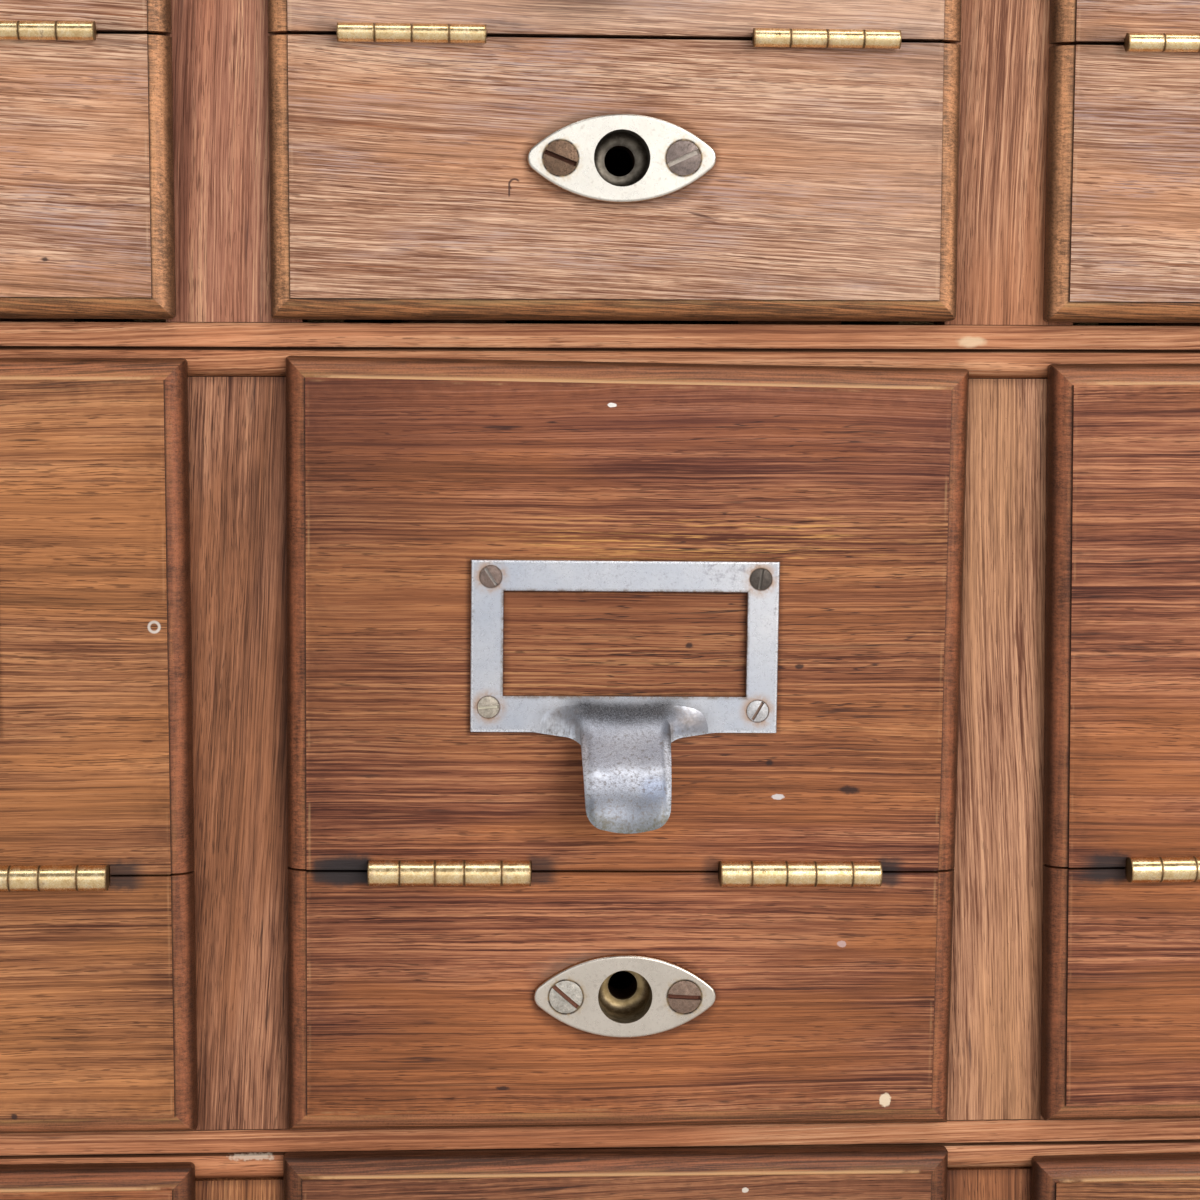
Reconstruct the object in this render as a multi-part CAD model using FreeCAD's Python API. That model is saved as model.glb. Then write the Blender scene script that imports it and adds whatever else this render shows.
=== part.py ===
import FreeCAD, Part
import os, math
from FreeCAD import Vector as V

# ---------------------------------------------------------------------------
# Oak card-index cabinet, three columns by three rows of drawers.  Millimetres.
# Working frame: X right, Y into the cabinet (0 = face of the stiles), Z up.
# Every solid is moved by (X_SHIFT, Y_SHIFT, 0) at the end, so that the origin
# lies at the bottom centre of the whole cabinet.
# ---------------------------------------------------------------------------

# --- layout -----------------------------------------------------------------
X_SHIFT = 0.5
Y_SHIFT = -194.8
COL_X = {1: -191.0, 2: 0.0, 3: 190.0}      # centres of the three openings
OPEN_W = 158.0                              # opening width between stiles
OPEN_H = 189.6                              # opening height between rails
RAIL_H = 13.0                               # rail face height
ROW_PITCH = OPEN_H + RAIL_H
PLINTH_H = 52.0
BASE_T = 19.0
ROW_Z = {3: PLINTH_H + BASE_T,              # rail top under each row
         2: PLINTH_H + BASE_T + ROW_PITCH,
         1: PLINTH_H + BASE_T + 2 * ROW_PITCH}
CASE_TOP = ROW_Z[1] + OPEN_H + 34.2         # underside of the top board
TOP_T = 24.0
TOP_OVER = 18.0                             # overhang of the top board
OUT_STILE_W = 38.0
FACE_T = 28.0                               # depth of the face frame members
SIDE_T = 20.0
DEPTH = 420.0                               # stile face to the back of the sides
BACK_T = 9.0
BACK_REBATE = 10.0
PARTITION_T = 20.0
RUNNER_W = 18.0
GUIDE_W = 5.5
GUIDE_H = 12.0

# --- drawer fronts ------------------------------------------------------------
FIELD = 7.4          # raised field, proud of the stile face
LIP_BACK = 1.0       # back of the lip, proud of the stile face
LIP_EDGE = 2.3       # outer arris of the ovolo, proud of the stile face
STEP = 0.8           # small fillet between the field and the ovolo
OVOLO_W = 5.1        # width of the ovolo seen from the front
FRONT_BACK = 12.0    # back face of the fronts, inside the opening
REAR_HALF = 78.5     # half width of the part inside the opening
CORNER_R = 1.3       # worn corners of the lip
# outline of each front, from the opening centre and the rail top:
# x left top, x left bottom, x right top, x right bottom,
# z top left, z top right, z bottom left, z bottom right, split left, split right
FRONTS = {
 (1, 1): (-85.9, -86.1, 81.7, 81.6, 193.5, 193.7, 0.9, 0.8, 68.0, 68.3),
 (1, 2): (-86.4, -86.4, 80.9, 81.2, 193.4, 193.2, 0.85, 0.95, 68.6, 68.0),
 (1, 3): (-87.0, -86.8, 81.4, 81.8, 193.8, 193.3, 0.8, 0.9, 67.9, 68.2),
 (2, 1): (-83.8, -84.1, 84.2, 84.0, 193.6, 194.0, 0.8, 0.9, 67.6, 67.3),
 (2, 2): (-83.0, -84.3, 84.7, 82.9, 194.7, 191.9, 0.9, 0.6, 68.2, 66.6),
 (2, 3): (-85.4, -82.6, 82.8, 85.3, 193.2, 194.2, 0.8, 0.8, 67.2, 68.0),
 (3, 1): (-84.6, -84.3, 83.1, 83.0, 195.0, 194.8, 0.9, 0.8, 67.8, 67.4),
 (3, 2): (-85.7, -85.4, 83.3, 83.0, 197.1, 196.4, 0.8, 0.9, 67.5, 67.9),
 (3, 3): (-84.7, -84.5, 83.4, 83.6, 193.4, 194.6, 0.8, 0.8, 67.3, 67.6),
}
SPLIT_GAP = {1: 0.9, 2: 0.6, 3: 0.7}        # gap between drop front and lower front
FLAP_REAR_TOP = 186.6                       # top of the drop front inside the opening

# --- rod plate with its cup ----------------------------------------------------
PLATE_HALF_L = 22.8
PLATE_HALF_H = 10.6
PLATE_TIP_R = 3.5
PLATE_T = 1.6
CUP_R = 6.8
CUP_OUT_R = 7.8
CUP_DEPTH = 11.0
CUP_FLOOR = 1.4
ROD_R = 3.75
PLATE_SCREW_X = 14.8
# centre x, centre z above the rail, tilt in degrees, two slot angles
PLATES = {
 (1, 1): (-2.0, 38.9, 0.3, 30, 100), (1, 2): (-1.6, 39.6, 0.4, -22, 24),
 (1, 3): (-2.6, 39.0, -0.4, 75, 10), (2, 1): (0.4, 36.4, 0.5, 5, 60),
 (2, 2): (0.1, 35.9, -0.6, -41, -3), (2, 3): (-0.5, 36.6, 0.2, 95, 140),
 (3, 1): (-0.4, 36.8, -0.3, 20, 80), (3, 2): (-0.8, 37.2, 0.2, 64, 150),
 (3, 3): (-0.2, 36.2, 0.5, 112, 35)}

# --- label holder with its pull -------------------------------------------------
HOLDER_HALF_W = 37.85
HOLDER_HALF_H = 21.2
HOLDER_T = 1.8
WINDOW = (-29.8, 30.0, -12.3, 13.6)
TONGUE_Z = [-13.2, -15.0, -17.0, -19.0, -21.0, -24.0, -27.0, -30.0, -33.0, -36.0, -39.0, -42.2]
TONGUE_P = [0.0, 0.45, 1.6, 3.3, 5.4, 9.0, 12.6, 15.8, 18.3, 20.0, 20.9, 21.2]
TONGUE_T = 2.7
HOLDERS = {  # centre x, centre z above the rail, tilt, four slot angles (TL TR BL BR)
 (1, 1): (-2.2, 124.6, 0.2, 10, 70, 120, 35), (1, 2): (-2.1, 124.2, 0.1, 15, 80, 140, 55),
 (1, 3): (-2.6, 124.0, -0.3, 60, 20, 95, 5), (2, 1): (0.2, 123.6, 0.3, 25, 110, 50, 85),
 (2, 2): (-0.4, 123.9, -0.5, -56, 82, 4, 60), (2, 3): (-0.8, 124.3, 0.2, 80, 45, 15, 130),
 (3, 1): (-0.6, 123.9, -0.2, 40, 5, 75, 100), (3, 2): (-1.0, 124.6, 0.1, 120, 65, 30, 90),
 (3, 3): (-0.4, 123.5, 0.4, 55, 95, 10, 145)}

# --- hinges ---------------------------------------------------------------------
HINGE_Y = -9.6       # pin axis, proud of the field
LEAF_T = 1.1
LEAF_GAP = 0.1       # half of the gap between the closed leaves
LEAF_BACK = 6.8
PIN_R = 1.25
PIN_CLEAR = 0.05
HINGE_KIND = {  # length, knuckle radius, knuckle boundaries as fractions, first on lower leaf
 "long": (40.0, 3.15, (0.0, 0.193, 0.41, 0.59, 0.82, 1.0)),
 "short": (35.3, 2.2, (0.0, 0.25, 0.5, 0.75, 1.0))}
HINGES = {  # kind, x of the two hinges
 (1, 1): ("short", -51.9, 47.0), (1, 2): ("short", -51.8, 47.3), (1, 3): ("short", -52.3, 46.8),
 (2, 1): ("long", -43.2, 43.9), (2, 2): ("long", -43.5, 43.5), (2, 3): ("long", -43.8, 43.0),
 (3, 1): ("long", -44.0, 43.0), (3, 2): ("long", -44.3, 42.6), (3, 3): ("long", -43.6, 43.4)}

# --- drawer boxes ----------------------------------------------------------------
BOX_SIDE_T = 9.0
BOX_SIDE_H = 150.0
BOX_BACK_H = 135.0
BOX_END = 390.0      # back end of the drawer sides
BOTTOM_Z = 8.0
BOTTOM_T = 5.0
BOX_CLEAR = 0.2      # drawer side above its runner
LAP = 11.0           # length of the lapped dovetails in the lower front

PARTS = {}


def box(x0, x1, y0, y1, z0, z1):
    return Part.makeBox(x1 - x0, y1 - y0, z1 - z0, V(x0, y0, z0))


def cyl(r, length, p, d):
    return Part.makeCylinder(r, length, p, d)


def fused(shapes):
    s = shapes[0]
    if len(shapes) > 1:
        s = s.fuse(shapes[1:])
    return s.removeSplitter()


def cut_all(s, tools):
    return s.cut(tools) if tools else s


def prism_x(points, x0, x1):
    """Closed polygon of (y, z) points, extruded along X."""
    w = Part.makePolygon([V(x0, y, z) for y, z in points] + [V(x0, points[0][0], points[0][1])])
    return Part.Face(w).extrude(V(x1 - x0, 0, 0))


def place(shape, tilt_deg, x, z, y=0.0):
    """Tilt in the plane of the front (positive lifts the right end), then move."""
    s = shape.copy()
    s.rotate(V(0, 0, 0), V(0, 1, 0), -tilt_deg)
    s.translate(V(x, y, z))
    return s


def add(name, solids):
    flat = []
    for s in solids:
        flat.extend(s.Solids)
    PARTS[name] = flat


# --- slotted countersunk wood screw, head in the plane z=0, shank along -Z --------
def screw(head_r, head_t, shank_r, length, slot_w, slot_d, slot_deg, dome=0.0):
    pts = [V(0, 0, 0), V(head_r, 0, 0), V(head_r, 0, -0.25), V(shank_r, 0, -head_t),
           V(shank_r, 0, -length + shank_r), V(0, 0, -length), V(0, 0, 0)]
    env = Part.Face(Part.makePolygon(pts)).revolve(V(0, 0, 0), V(0, 0, 1), 360)
    env = Part.Solid(env.Shells[0]) if env.ShapeType != "Solid" else env
    if env.Volume < 0:
        env = env.reversed()
    body = env
    if dome > 0.0:
        c = (head_r ** 2 - dome ** 2) / (2 * dome)
        ball = Part.makeSphere(c + dome, V(0, 0, -c))
        cap = ball.common(box(-head_r * 2, head_r * 2, -head_r * 2, head_r * 2, 0, dome + 1))
        body = env.fuse(cap).removeSplitter()
    slot = box(-head_r * 2, head_r * 2, -slot_w / 2, slot_w / 2, -slot_d, dome + 1)
    slot.rotate(V(0, 0, 0), V(0, 0, 1), slot_deg)
    return body.cut(slot), env


def to_front(s):
    """Turn +Z (screw head) to -Y."""
    t = s.copy()
    t.rotate(V(0, 0, 0), V(1, 0, 0), 90)
    return t


# --- edge prisms of a moulded front ------------------------------------------------
BIG = 400.0


def edge_prism(p0, p1, moulded, y_back=-LIP_BACK):
    """Half space inside the line p0-p1 (inside on its left), with or without the
    step and ovolo along it.  Points are (x, z)."""
    dx, dz = p1[0] - p0[0], p1[1] - p0[1]
    ln = math.hypot(dx, dz)
    t = V(dx / ln, 0, dz / ln)
    n = V(-dz / ln, 0, dx / ln)
    o = V(p0[0], 0, p0[1]) - t * 60.0

    def P(d, y):
        return o + n * d + V(0, y, 0)
    if moulded:
        a = P(0, y_back)
        b = P(0, -LIP_EDGE)
        c = P(OVOLO_W, -(FIELD - STEP))
        d = P(OVOLO_W, -FIELD)
        e = P(BIG, -FIELD)
        f = P(BIG, y_back)
        ell = Part.Ellipse(b, c, P(OVOLO_W, -LIP_EDGE))
        arc = Part.ArcOfEllipse(ell, 0, math.pi / 2).toShape()
        edges = [Part.makeLine(a, b), arc, Part.makeLine(c, d), Part.makeLine(d, e),
                 Part.makeLine(e, f), Part.makeLine(f, a)]
    else:
        q = [P(0, y_back), P(0, -FIELD), P(BIG, -FIELD), P(BIG, y_back)]
        edges = [Part.makeLine(q[i], q[(i + 1) % 4]) for i in range(4)]
    face = Part.Face(Part.Wire(Part.__sortEdges__(edges)))
    s = face.extrude(t * (ln + 120.0))
    return s


def quad_prism(corners, radii, y0, y1):
    """Upright prism over a quadrilateral with rounded corners, (x, z) counter-clockwise
    seen from the front with X right and Z up."""
    n = len(corners)
    pts = []
    edges = []
    for i in range(n):
        p = V(corners[i][0], y0, corners[i][1])
        a = V(corners[i - 1][0], y0, corners[i - 1][1])
        b = V(corners[(i + 1) % n][0], y0, corners[(i + 1) % n][1])
        r = radii[i]
        if r <= 0:
            pts.append((p, None, p))
            continue
        ua = (a - p).normalize()
        ub = (b - p).normalize()
        half = ua.getAngle(ub) / 2
        tl = r / math.tan(half)
        bis = (ua + ub).normalize()
        mid = p + bis * (r / math.sin(half) - r)
        pts.append((p + ua * tl, mid, p + ub * tl))
    for i in range(n):
        s, m, e = pts[i]
        if m is not None:
            edges.append(Part.Arc(s, m, e).toShape())
        nx = pts[(i + 1) % n][0]
        edges.append(Part.makeLine(e, nx))
    return Part.Face(Part.Wire(edges)).extrude(V(0, y1 - y0, 0))


def half_space(p0, p1, y0, y1):
    """Big box on the left of the line p0-p1, from y0 to y1."""
    dx, dz = p1[0] - p0[0], p1[1] - p0[1]
    ln = math.hypot(dx, dz)
    t = V(dx / ln, 0, dz / ln)
    n = V(-dz / ln, 0, dx / ln)
    o = V(p0[0], y0, p0[1]) - t * 60.0
    q = [o, o + t * (ln + 120), o + t * (ln + 120) + n * BIG, o + n * BIG]
    return Part.Face(Part.makePolygon(q + [q[0]])).extrude(V(0, y1 - y0, 0))


def front_pair(key):
    xlt, xlb, xrt, xrb, ztl, ztr, zbl, zbr, zsl, zsr = FRONTS[key]
    gap = SPLIT_GAP[key[0]] / 2
    tl, tr, br, bl = (xlt, ztl), (xrt, ztr), (xrb, zbr), (xlb, zbl)
    sl, sr = (-84.0, zsl), (84.0, zsr)
    # drop front
    r = CORNER_R
    up = edge_prism((sl[0], sl[1] + gap), (sr[0], sr[1] + gap), False)
    for a, b in ((br, tr), (tr, tl), (tl, bl)):
        up = up.common(edge_prism(a, b, True))
    up = up.common(quad_prism([bl, br, tr, tl], [0, 0, r, r], -20, 0))
    rear = box(-REAR_HALF, REAR_HALF, -LIP_BACK, FRONT_BACK, 30, FLAP_REAR_TOP)
    rear = rear.common(half_space((sl[0], sl[1] + gap), (sr[0], sr[1] + gap), -20, 30))
    flap = fused([up, rear])
    # lower front
    dn = edge_prism((sr[0], sr[1] - gap), (sl[0], sl[1] - gap), False)
    for a, b in ((tl, bl), (bl, br), (br, tr)):
        dn = dn.common(edge_prism(a, b, True))
    rb = 2.2 if key == (1, 2) else r
    dn = dn.common(quad_prism([bl, br, tr, tl], [r, rb, 0, 0], -20, 0))
    rear = box(-REAR_HALF, REAR_HALF, -LIP_BACK, FRONT_BACK, 1.0, 100)
    rear = rear.common(half_space((sr[0], sr[1] - gap), (sl[0], sl[1] - gap), -20, 30))
    low = fused([dn, rear])
    return low, flap


# --- tails of the drawer box --------------------------------------------------------
def tails(zs, y_base, y_end, x0, x1, w=7.0, flare=1.5):
    out = []
    for z in zs:
        out.append(prism_x([(y_base, z - w), (y_base, z + w), (y_end, z + w + flare),
                            (y_end, z - w - flare)], x0, x1))
    return out


FRONT_TAILS = (12.5, 33.5, 54.5)
BACK_TAILS = (27.0, 51.0, 75.0, 99.0, 122.5)


def drawer_box():
    """Two sides, a back and a bottom board, with dovetails at the corners."""
    si = REAR_HALF - BOX_SIDE_T
    groove = 4.0
    solids = []
    back = box(-REAR_HALF, REAR_HALF, BOX_END - BOX_SIDE_T, BOX_END, BOTTOM_Z + BOTTOM_T, BOX_BACK_H)
    rod_back = cyl(ROD_R, 30, V(0, BOX_END - 20, 0), V(0, 1, 0))
    for sgn in (-1, 1):
        x0, x1 = (si, REAR_HALF) if sgn > 0 else (-REAR_HALF, -si)
        side = box(x0, x1, FRONT_BACK, BOX_END - BOX_SIDE_T, BOX_CLEAR, 62.5)
        upper = box(x0, x1, FRONT_BACK + 0.3, BOX_END - BOX_SIDE_T, 60.0, BOX_SIDE_H)
        low_end = box(x0, x1, BOX_END - BOX_SIDE_T - 1, BOX_END, BOX_CLEAR, BOTTOM_Z + BOTTOM_T)
        high_end = box(x0, x1, BOX_END - BOX_SIDE_T - 1, BOX_END, BOX_BACK_H, BOX_SIDE_H)
        t_front = tails(FRONT_TAILS, FRONT_BACK, FRONT_BACK - LAP, x0, x1)
        t_back = tails(BACK_TAILS, BOX_END - BOX_SIDE_T, BOX_END, x0, x1, 6.5, 1.3)
        s = fused([side, upper, low_end, high_end] + t_front + t_back)
        gx0, gx1 = (si, si + groove) if sgn > 0 else (-si - groove, -si)
        s = s.cut(box(gx0, gx1, FRONT_BACK - 1, BOX_END + 1, BOTTOM_Z, BOTTOM_Z + BOTTOM_T))
        # eased top front corner
        s = s.cut(corner_cut(x0, x1))
        back = cut_all(back, t_back)
        solids.append(s)
    bottom = box(-si - groove, si + groove, FRONT_BACK - 4.0, BOX_END - 1.0, BOTTOM_Z, BOTTOM_Z + BOTTOM_T)
    bottom = bottom.cut([box(-REAR_HALF, -si, 0, FRONT_BACK, 0, 30), box(si, REAR_HALF, 0, FRONT_BACK, 0, 30)])
    return solids, back, bottom


def corner_cut(x0, x1):
    r = 14.0
    y0, z1 = FRONT_BACK + 0.3, BOX_SIDE_H
    b = box(x0 - 1, x1 + 1, y0 - 1, y0 + r, z1 - r, z1 + 1)
    c = cyl(r, x1 - x0 + 4, V(x0 - 2, y0 + r, z1 - r), V(1, 0, 0))
    return b.cut(c)


# --- label holder: one casting with a swept pull -------------------------------------
def interp(x, xs, ys):
    """Smooth (monotone) interpolation; xs falls."""
    if x >= xs[0]:
        return ys[0]
    if x <= xs[-1]:
        return ys[-1]
    n = len(xs)
    m = [0.0] * n
    for i in range(1, n - 1):
        a = (ys[i] - ys[i - 1]) / (xs[i] - xs[i - 1])
        b = (ys[i + 1] - ys[i]) / (xs[i + 1] - xs[i])
        m[i] = 0.0 if a * b <= 0 else 2 * a * b / (a + b)
    m[-1] = 0.0
    for i in range(n - 1):
        if xs[i] >= x >= xs[i + 1]:
            h = xs[i + 1] - xs[i]
            t = (x - xs[i]) / h
            return ((2 * t ** 3 - 3 * t ** 2 + 1) * ys[i] + (t ** 3 - 2 * t ** 2 + t) * h * m[i]
                    + (-2 * t ** 3 + 3 * t ** 2) * ys[i + 1] + (t ** 3 - t ** 2) * h * m[i + 1])
    return ys[-1]


def smooth(a, b, x):
    t = min(1.0, max(0.0, (x - a) / (b - a)))
    return t * t * (3 - 2 * t)


def strap_outline():
    """Front view of the pull below the card window, with its round tip."""
    zt = TONGUE_Z[-1]

    def P(x, z):
        return V(x, 0, z)
    xl, xr = -10.9, 11.25
    e = [Part.Arc(P(-5.4, zt + 0.75), P(0, zt), P(5.4, zt + 0.75)).toShape(),
         Part.Arc(P(5.4, zt + 0.75), P(8.9, zt + 2.5), P(10.3, zt + 5.6)).toShape(),
         Part.makeLine(P(10.3, zt + 5.6), P(xr, -21.0)), Part.makeLine(P(xr, -21.0), P(xr, -12.7)),
         Part.makeLine(P(xr, -12.7), P(xl, -12.7)), Part.makeLine(P(xl, -12.7), P(xl, -21.0)),
         Part.makeLine(P(xl, -21.0), P(-10.1, zt + 5.6)),
         Part.Arc(P(-10.1, zt + 5.6), P(-8.8, zt + 2.5), P(-5.4, zt + 0.75)).toShape()]
    return Part.Face(Part.Wire(Part.__sortEdges__(e)))


def shoulder_outline():
    """Front view of the web that joins the frame to the root of the pull."""
    def P(x, z):
        return V(x, 0, z)
    hh = HOLDER_HALF_H
    e = [Part.makeLine(P(-10.2, -24.6), P(10.2, -24.6)),
         Part.Arc(P(10.2, -24.6), P(11.9, -22.9), P(15.0, -22.0)).toShape(),
         Part.makeLine(P(15.0, -22.0), P(23.5, -hh)), Part.makeLine(P(23.5, -hh), P(23.5, -12.9)),
         Part.makeLine(P(23.5, -12.9), P(-23.5, -12.9)), Part.makeLine(P(-23.5, -12.9), P(-23.5, -hh)),
         Part.makeLine(P(-23.5, -hh), P(-15.0, -22.0)),
         Part.Arc(P(-15.0, -22.0), P(-11.9, -22.9), P(-10.2, -24.6)).toShape()]
    return Part.Face(Part.Wire(Part.__sortEdges__(e)))


def swept(xs, zs, height, thick):
    """Sheet whose front stands height(x, z) proud of the holder's face."""
    yf = -(FIELD + HOLDER_T)
    grid = [[V(x, yf - height(x, z), z) for z in zs] for x in xs]
    surf = Part.BSplineSurface()
    surf.interpolate(grid)
    sheet = surf.toShape().extrude(V(0, thick, 0))
    return sheet if sheet.ShapeType == "Solid" else sheet.Solids[0]


def holder():
    yf = -(FIELD + HOLDER_T)
    hw, hh = HOLDER_HALF_W, HOLDER_HALF_H
    # flat frame with its eased arrises
    plate = box(-hw, hw, yf, -FIELD, -hh, hh)
    rim = [e for e in plate.Edges if abs(e.BoundBox.YMin - yf) < 1e-6 and abs(e.BoundBox.YMax - yf) < 1e-6
           and not (e.BoundBox.ZMax < -hh + 1)]
    plate = plate.makeFillet(0.45, rim)
    win = box(WINDOW[0], WINDOW[1], -50, 0, WINDOW[2], WINDOW[3])
    plate = plate.cut(win)
    rim = [e for e in plate.Edges if abs(e.BoundBox.YMin - yf) < 1e-6 and abs(e.BoundBox.YMax - yf) < 1e-6
           and e.BoundBox.XMin > WINDOW[0] - 0.1 and e.BoundBox.XMax < WINDOW[1] + 0.1
           and e.BoundBox.ZMin > WINDOW[2] - 0.1 and e.BoundBox.ZMax < WINDOW[3] + 0.1
           and e.BoundBox.ZMax > WINDOW[2] + 0.5]
    plate = plate.makeFillet(0.3, rim)

    # the strap: leaves the frame in a hollow curve, rolls back along both sides
    def strap_h(x, z):
        p = interp(z, TONGUE_Z, TONGUE_P) - 0.35 * smooth(-15.5, -12.5, z)
        ax = abs(x)
        side = max(0.0, (ax - 7.9) / 3.0)
        roll = 0.95 * side * side * smooth(-16.0, -21.0, z)
        dish = 0.30 * (1.0 - smooth(0.0, 8.0, ax)) * smooth(-18, -26, z)
        return p - roll - dish
    xs = [-12.5, -11.4, -10.6, -9.8, -9.0, -8.2, -7.2, -6, -4.5, -3, -1.5]
    xs = xs + [0.0] + [-x for x in reversed(xs)]
    zs = [-11, -12, -13, -13.8, -14.6, -15.5, -16.5, -17.5, -18.5, -20, -21.5, -23, -24.5, -26, -28, -30, -32, -34,
          -36, -38, -40, -42, -44]
    outline = strap_outline()
    prism = outline.copy()
    prism.translate(V(0, -40, 0))
    strap = swept(xs, zs, strap_h, TONGUE_T).common(prism.extrude(V(0, 40 - FIELD, 0)))

    # the web: rises with the strap, dies out along the frame
    def web_h(x, z):
        p = interp(z, TONGUE_Z, TONGUE_P)
        h = p / (1.0 + (p / 3.4) ** 3) ** (1.0 / 3.0) * (1.0 - smooth(9.5, 23.0, abs(x)))
        return h - 0.3 * max(0.0, 1.0 - h / 0.8)
    xs = [-25, -23, -21, -19, -17, -15.5, -14, -12.5, -11, -9, -6, -3]
    xs = xs + [0.0] + [-x for x in reversed(xs)]
    zs = [-11.5, -12.5, -13.4, -14.2, -15, -16, -17, -18, -19, -20.2, -21.5, -23, -25]
    outline = shoulder_outline()
    prism = outline.copy()
    prism.translate(V(0, -40, 0))
    web = swept(xs, zs, web_h, 4.5).common(prism.extrude(V(0, 40 - FIELD, 0)))
    web = web.cut(box(WINDOW[0], WINDOW[1], -50, 0, WINDOW[2], WINDOW[3]))

    body = plate.fuse([web, strap])
    # card recess behind the frame, open at the top
    body = body.cut(box(-31.2, 31.2, -FIELD - 0.8, 0, WINDOW[2] + 0.8, WINDOW[3]).fuse(
        box(-29.6, 29.6, -FIELD - 0.8, 0, WINDOW[2] - 0.6, HOLDER_HALF_H + 1)))
    print("holder solids", len(body.Solids), body.isValid())
    return body.Solids[0] if len(body.Solids) == 1 else body


HOLDER_SCREWS = ((-33.0, 17.1), (33.2, 16.9), (-33.4, -15.1), (33.0, -15.8))


# --- rod plate with cup ------------------------------------------------------------
def rod_plate():
    hl, hh, r = PLATE_HALF_L, PLATE_HALF_H, PLATE_TIP_R
    c = hl - r
    R = (c * c + hh * hh - r * r) / (2 * (hh - r))
    # tangent points between the long arcs and the tips
    def tang(sx, sz):
        cx, cz = 0.0, sz * (hh - R)
        tx, tz = sx * c, 0.0
        d = math.hypot(tx - cx, tz - cz)
        return (cx + (tx - cx) / d * R, cz + (tz - cz) / d * R)

    def face(off):
        def P(p):
            return V(p[0], 0, p[1])
        pr_u, pr_d = tang(1, 1), tang(1, -1)
        pl_u, pl_d = tang(-1, 1), tang(-1, -1)
        e = [Part.Arc(P(pl_u), V(0, 0, hh), P(pr_u)).toShape(),
             Part.Arc(P(pr_u), V(hl, 0, 0), P(pr_d)).toShape(),
             Part.Arc(P(pr_d), V(0, 0, -hh), P(pl_d)).toShape(),
             Part.Arc(P(pl_d), V(-hl, 0, 0), P(pl_u)).toShape()]
        return Part.Face(Part.Wire(e))
    f = face(0)
    f.translate(V(0, -FIELD, 0))
    s = f.extrude(V(0, -PLATE_T, 0))
    rim = [e for e in s.Edges if abs(e.BoundBox.YMin + FIELD + PLATE_T) < 1e-6
           and abs(e.BoundBox.YMax + FIELD + PLATE_T) < 1e-6]
    try:
        s2 = s.makeFillet(0.7, rim)
        if s2.isValid() and s2.Volume > 0:
            s = s2
    except Exception:
        print("plate rim left square")
    y_in = -FIELD - PLATE_T + CUP_DEPTH
    tube = cyl(CUP_OUT_R, y_in + CUP_FLOOR + FIELD, V(0, -FIELD, 0), V(0, 1, 0))
    s = s.fuse(tube).removeSplitter()
    hollow = cyl(CUP_R, CUP_DEPTH, V(0, -FIELD - PLATE_T, 0), V(0, 1, 0))
    e = [x for x in hollow.Edges if abs(x.BoundBox.YMin - y_in) < 1e-6 and abs(x.BoundBox.YMax - y_in) < 1e-6
         and x.Length > 10]
    try:
        hollow = hollow.makeFillet(2.4, e)
    except Exception:
        print("cup floor left square")
    s = s.cut([hollow, cyl(ROD_R, 60, V(0, -30, 0), V(0, 1, 0))])
    return s.removeSplitter(), y_in


# --- hinge, in the frame of the split line ------------------------------------------
def hinge(kind, xc):
    L, R, fr = HINGE_KIND[kind]
    x0 = xc - L / 2
    ax = V(x0, HINGE_Y, 0)
    X = V(1, 0, 0)
    lower = box(x0, x0 + L, HINGE_Y, LEAF_BACK, -LEAF_T - LEAF_GAP, -LEAF_GAP)
    upper = box(x0, x0 + L, HINGE_Y, LEAF_BACK, LEAF_GAP, LEAF_T + LEAF_GAP)
    barrel = cyl(R, L, ax, X)
    lower = lower.fuse(barrel)
    upper = upper.fuse(barrel)
    cut_l, cut_u = [], []
    n = len(fr) - 1
    g = 0.12
    for i in range(n):
        a, b = x0 + fr[i] * L, x0 + fr[i + 1] * L
        ea = a - (g / 2 if i else 1.0)
        eb = b + (g / 2 if i < n - 1 else 1.0)
        tool = cyl(R + 0.15, eb - ea, V(ea, HINGE_Y, 0), X)
        (cut_u if i % 2 == 0 else cut_l).append(tool)
    lower = lower.cut(cut_l + [cyl(PIN_R, L + 2, ax - X, X)])
    upper = upper.cut(cut_u + [cyl(PIN_R + PIN_CLEAR, L + 2, ax - X, X)])
    # the far half of each leaf must not reach past the axis plane of the other
    pin = cyl(PIN_R, L, ax, X)
    # mortises with the clearance for the barrel
    well = cyl(R + 0.35, L + 0.6, V(x0 - 0.3, HINGE_Y, 0), X)
    mort_l = box(x0, x0 + L, -FIELD - 1, LEAF_BACK, -LEAF_T - LEAF_GAP, 3)
    mort_u = box(x0, x0 + L, -FIELD - 1, LEAF_BACK, -3, LEAF_T + LEAF_GAP)
    screws_l, screws_u, env_l, env_u = [], [], [], []
    for k, (dx, y) in enumerate(((-13.0, -1.2), (0.0, 2.8), (13.0, -1.2))):
        s, e = screw(2.2, 0.95, 1.1, 9.5, 0.5, 0.45, 20 + 47 * k)
        s1, e1 = s.copy(), e.copy()
        for t in (s1, e1):
            t.translate(V(xc + dx, y, -LEAF_GAP))
        screws_l.append(s1)
        env_l.append(e1)
        s2, e2 = s.copy(), e.copy()
        for t in (s2, e2):
            t.rotate(V(0, 0, 0), V(1, 0, 0), 180)
            t.translate(V(xc + dx, y, LEAF_GAP))
        screws_u.append(s2)
        env_u.append(e2)
    lower = lower.cut(env_l)
    upper = upper.cut(env_u)
    return dict(lower=lower, upper=upper, pin=pin, well=well, mort_l=mort_l, mort_u=mort_u,
                sl=screws_l, su=screws_u, el=env_l, eu=env_u)


# --- ball catch in the front end of each drawer side ---------------------------------
CATCH_Z = 128.0
CATCH_X = 74.0


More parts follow.
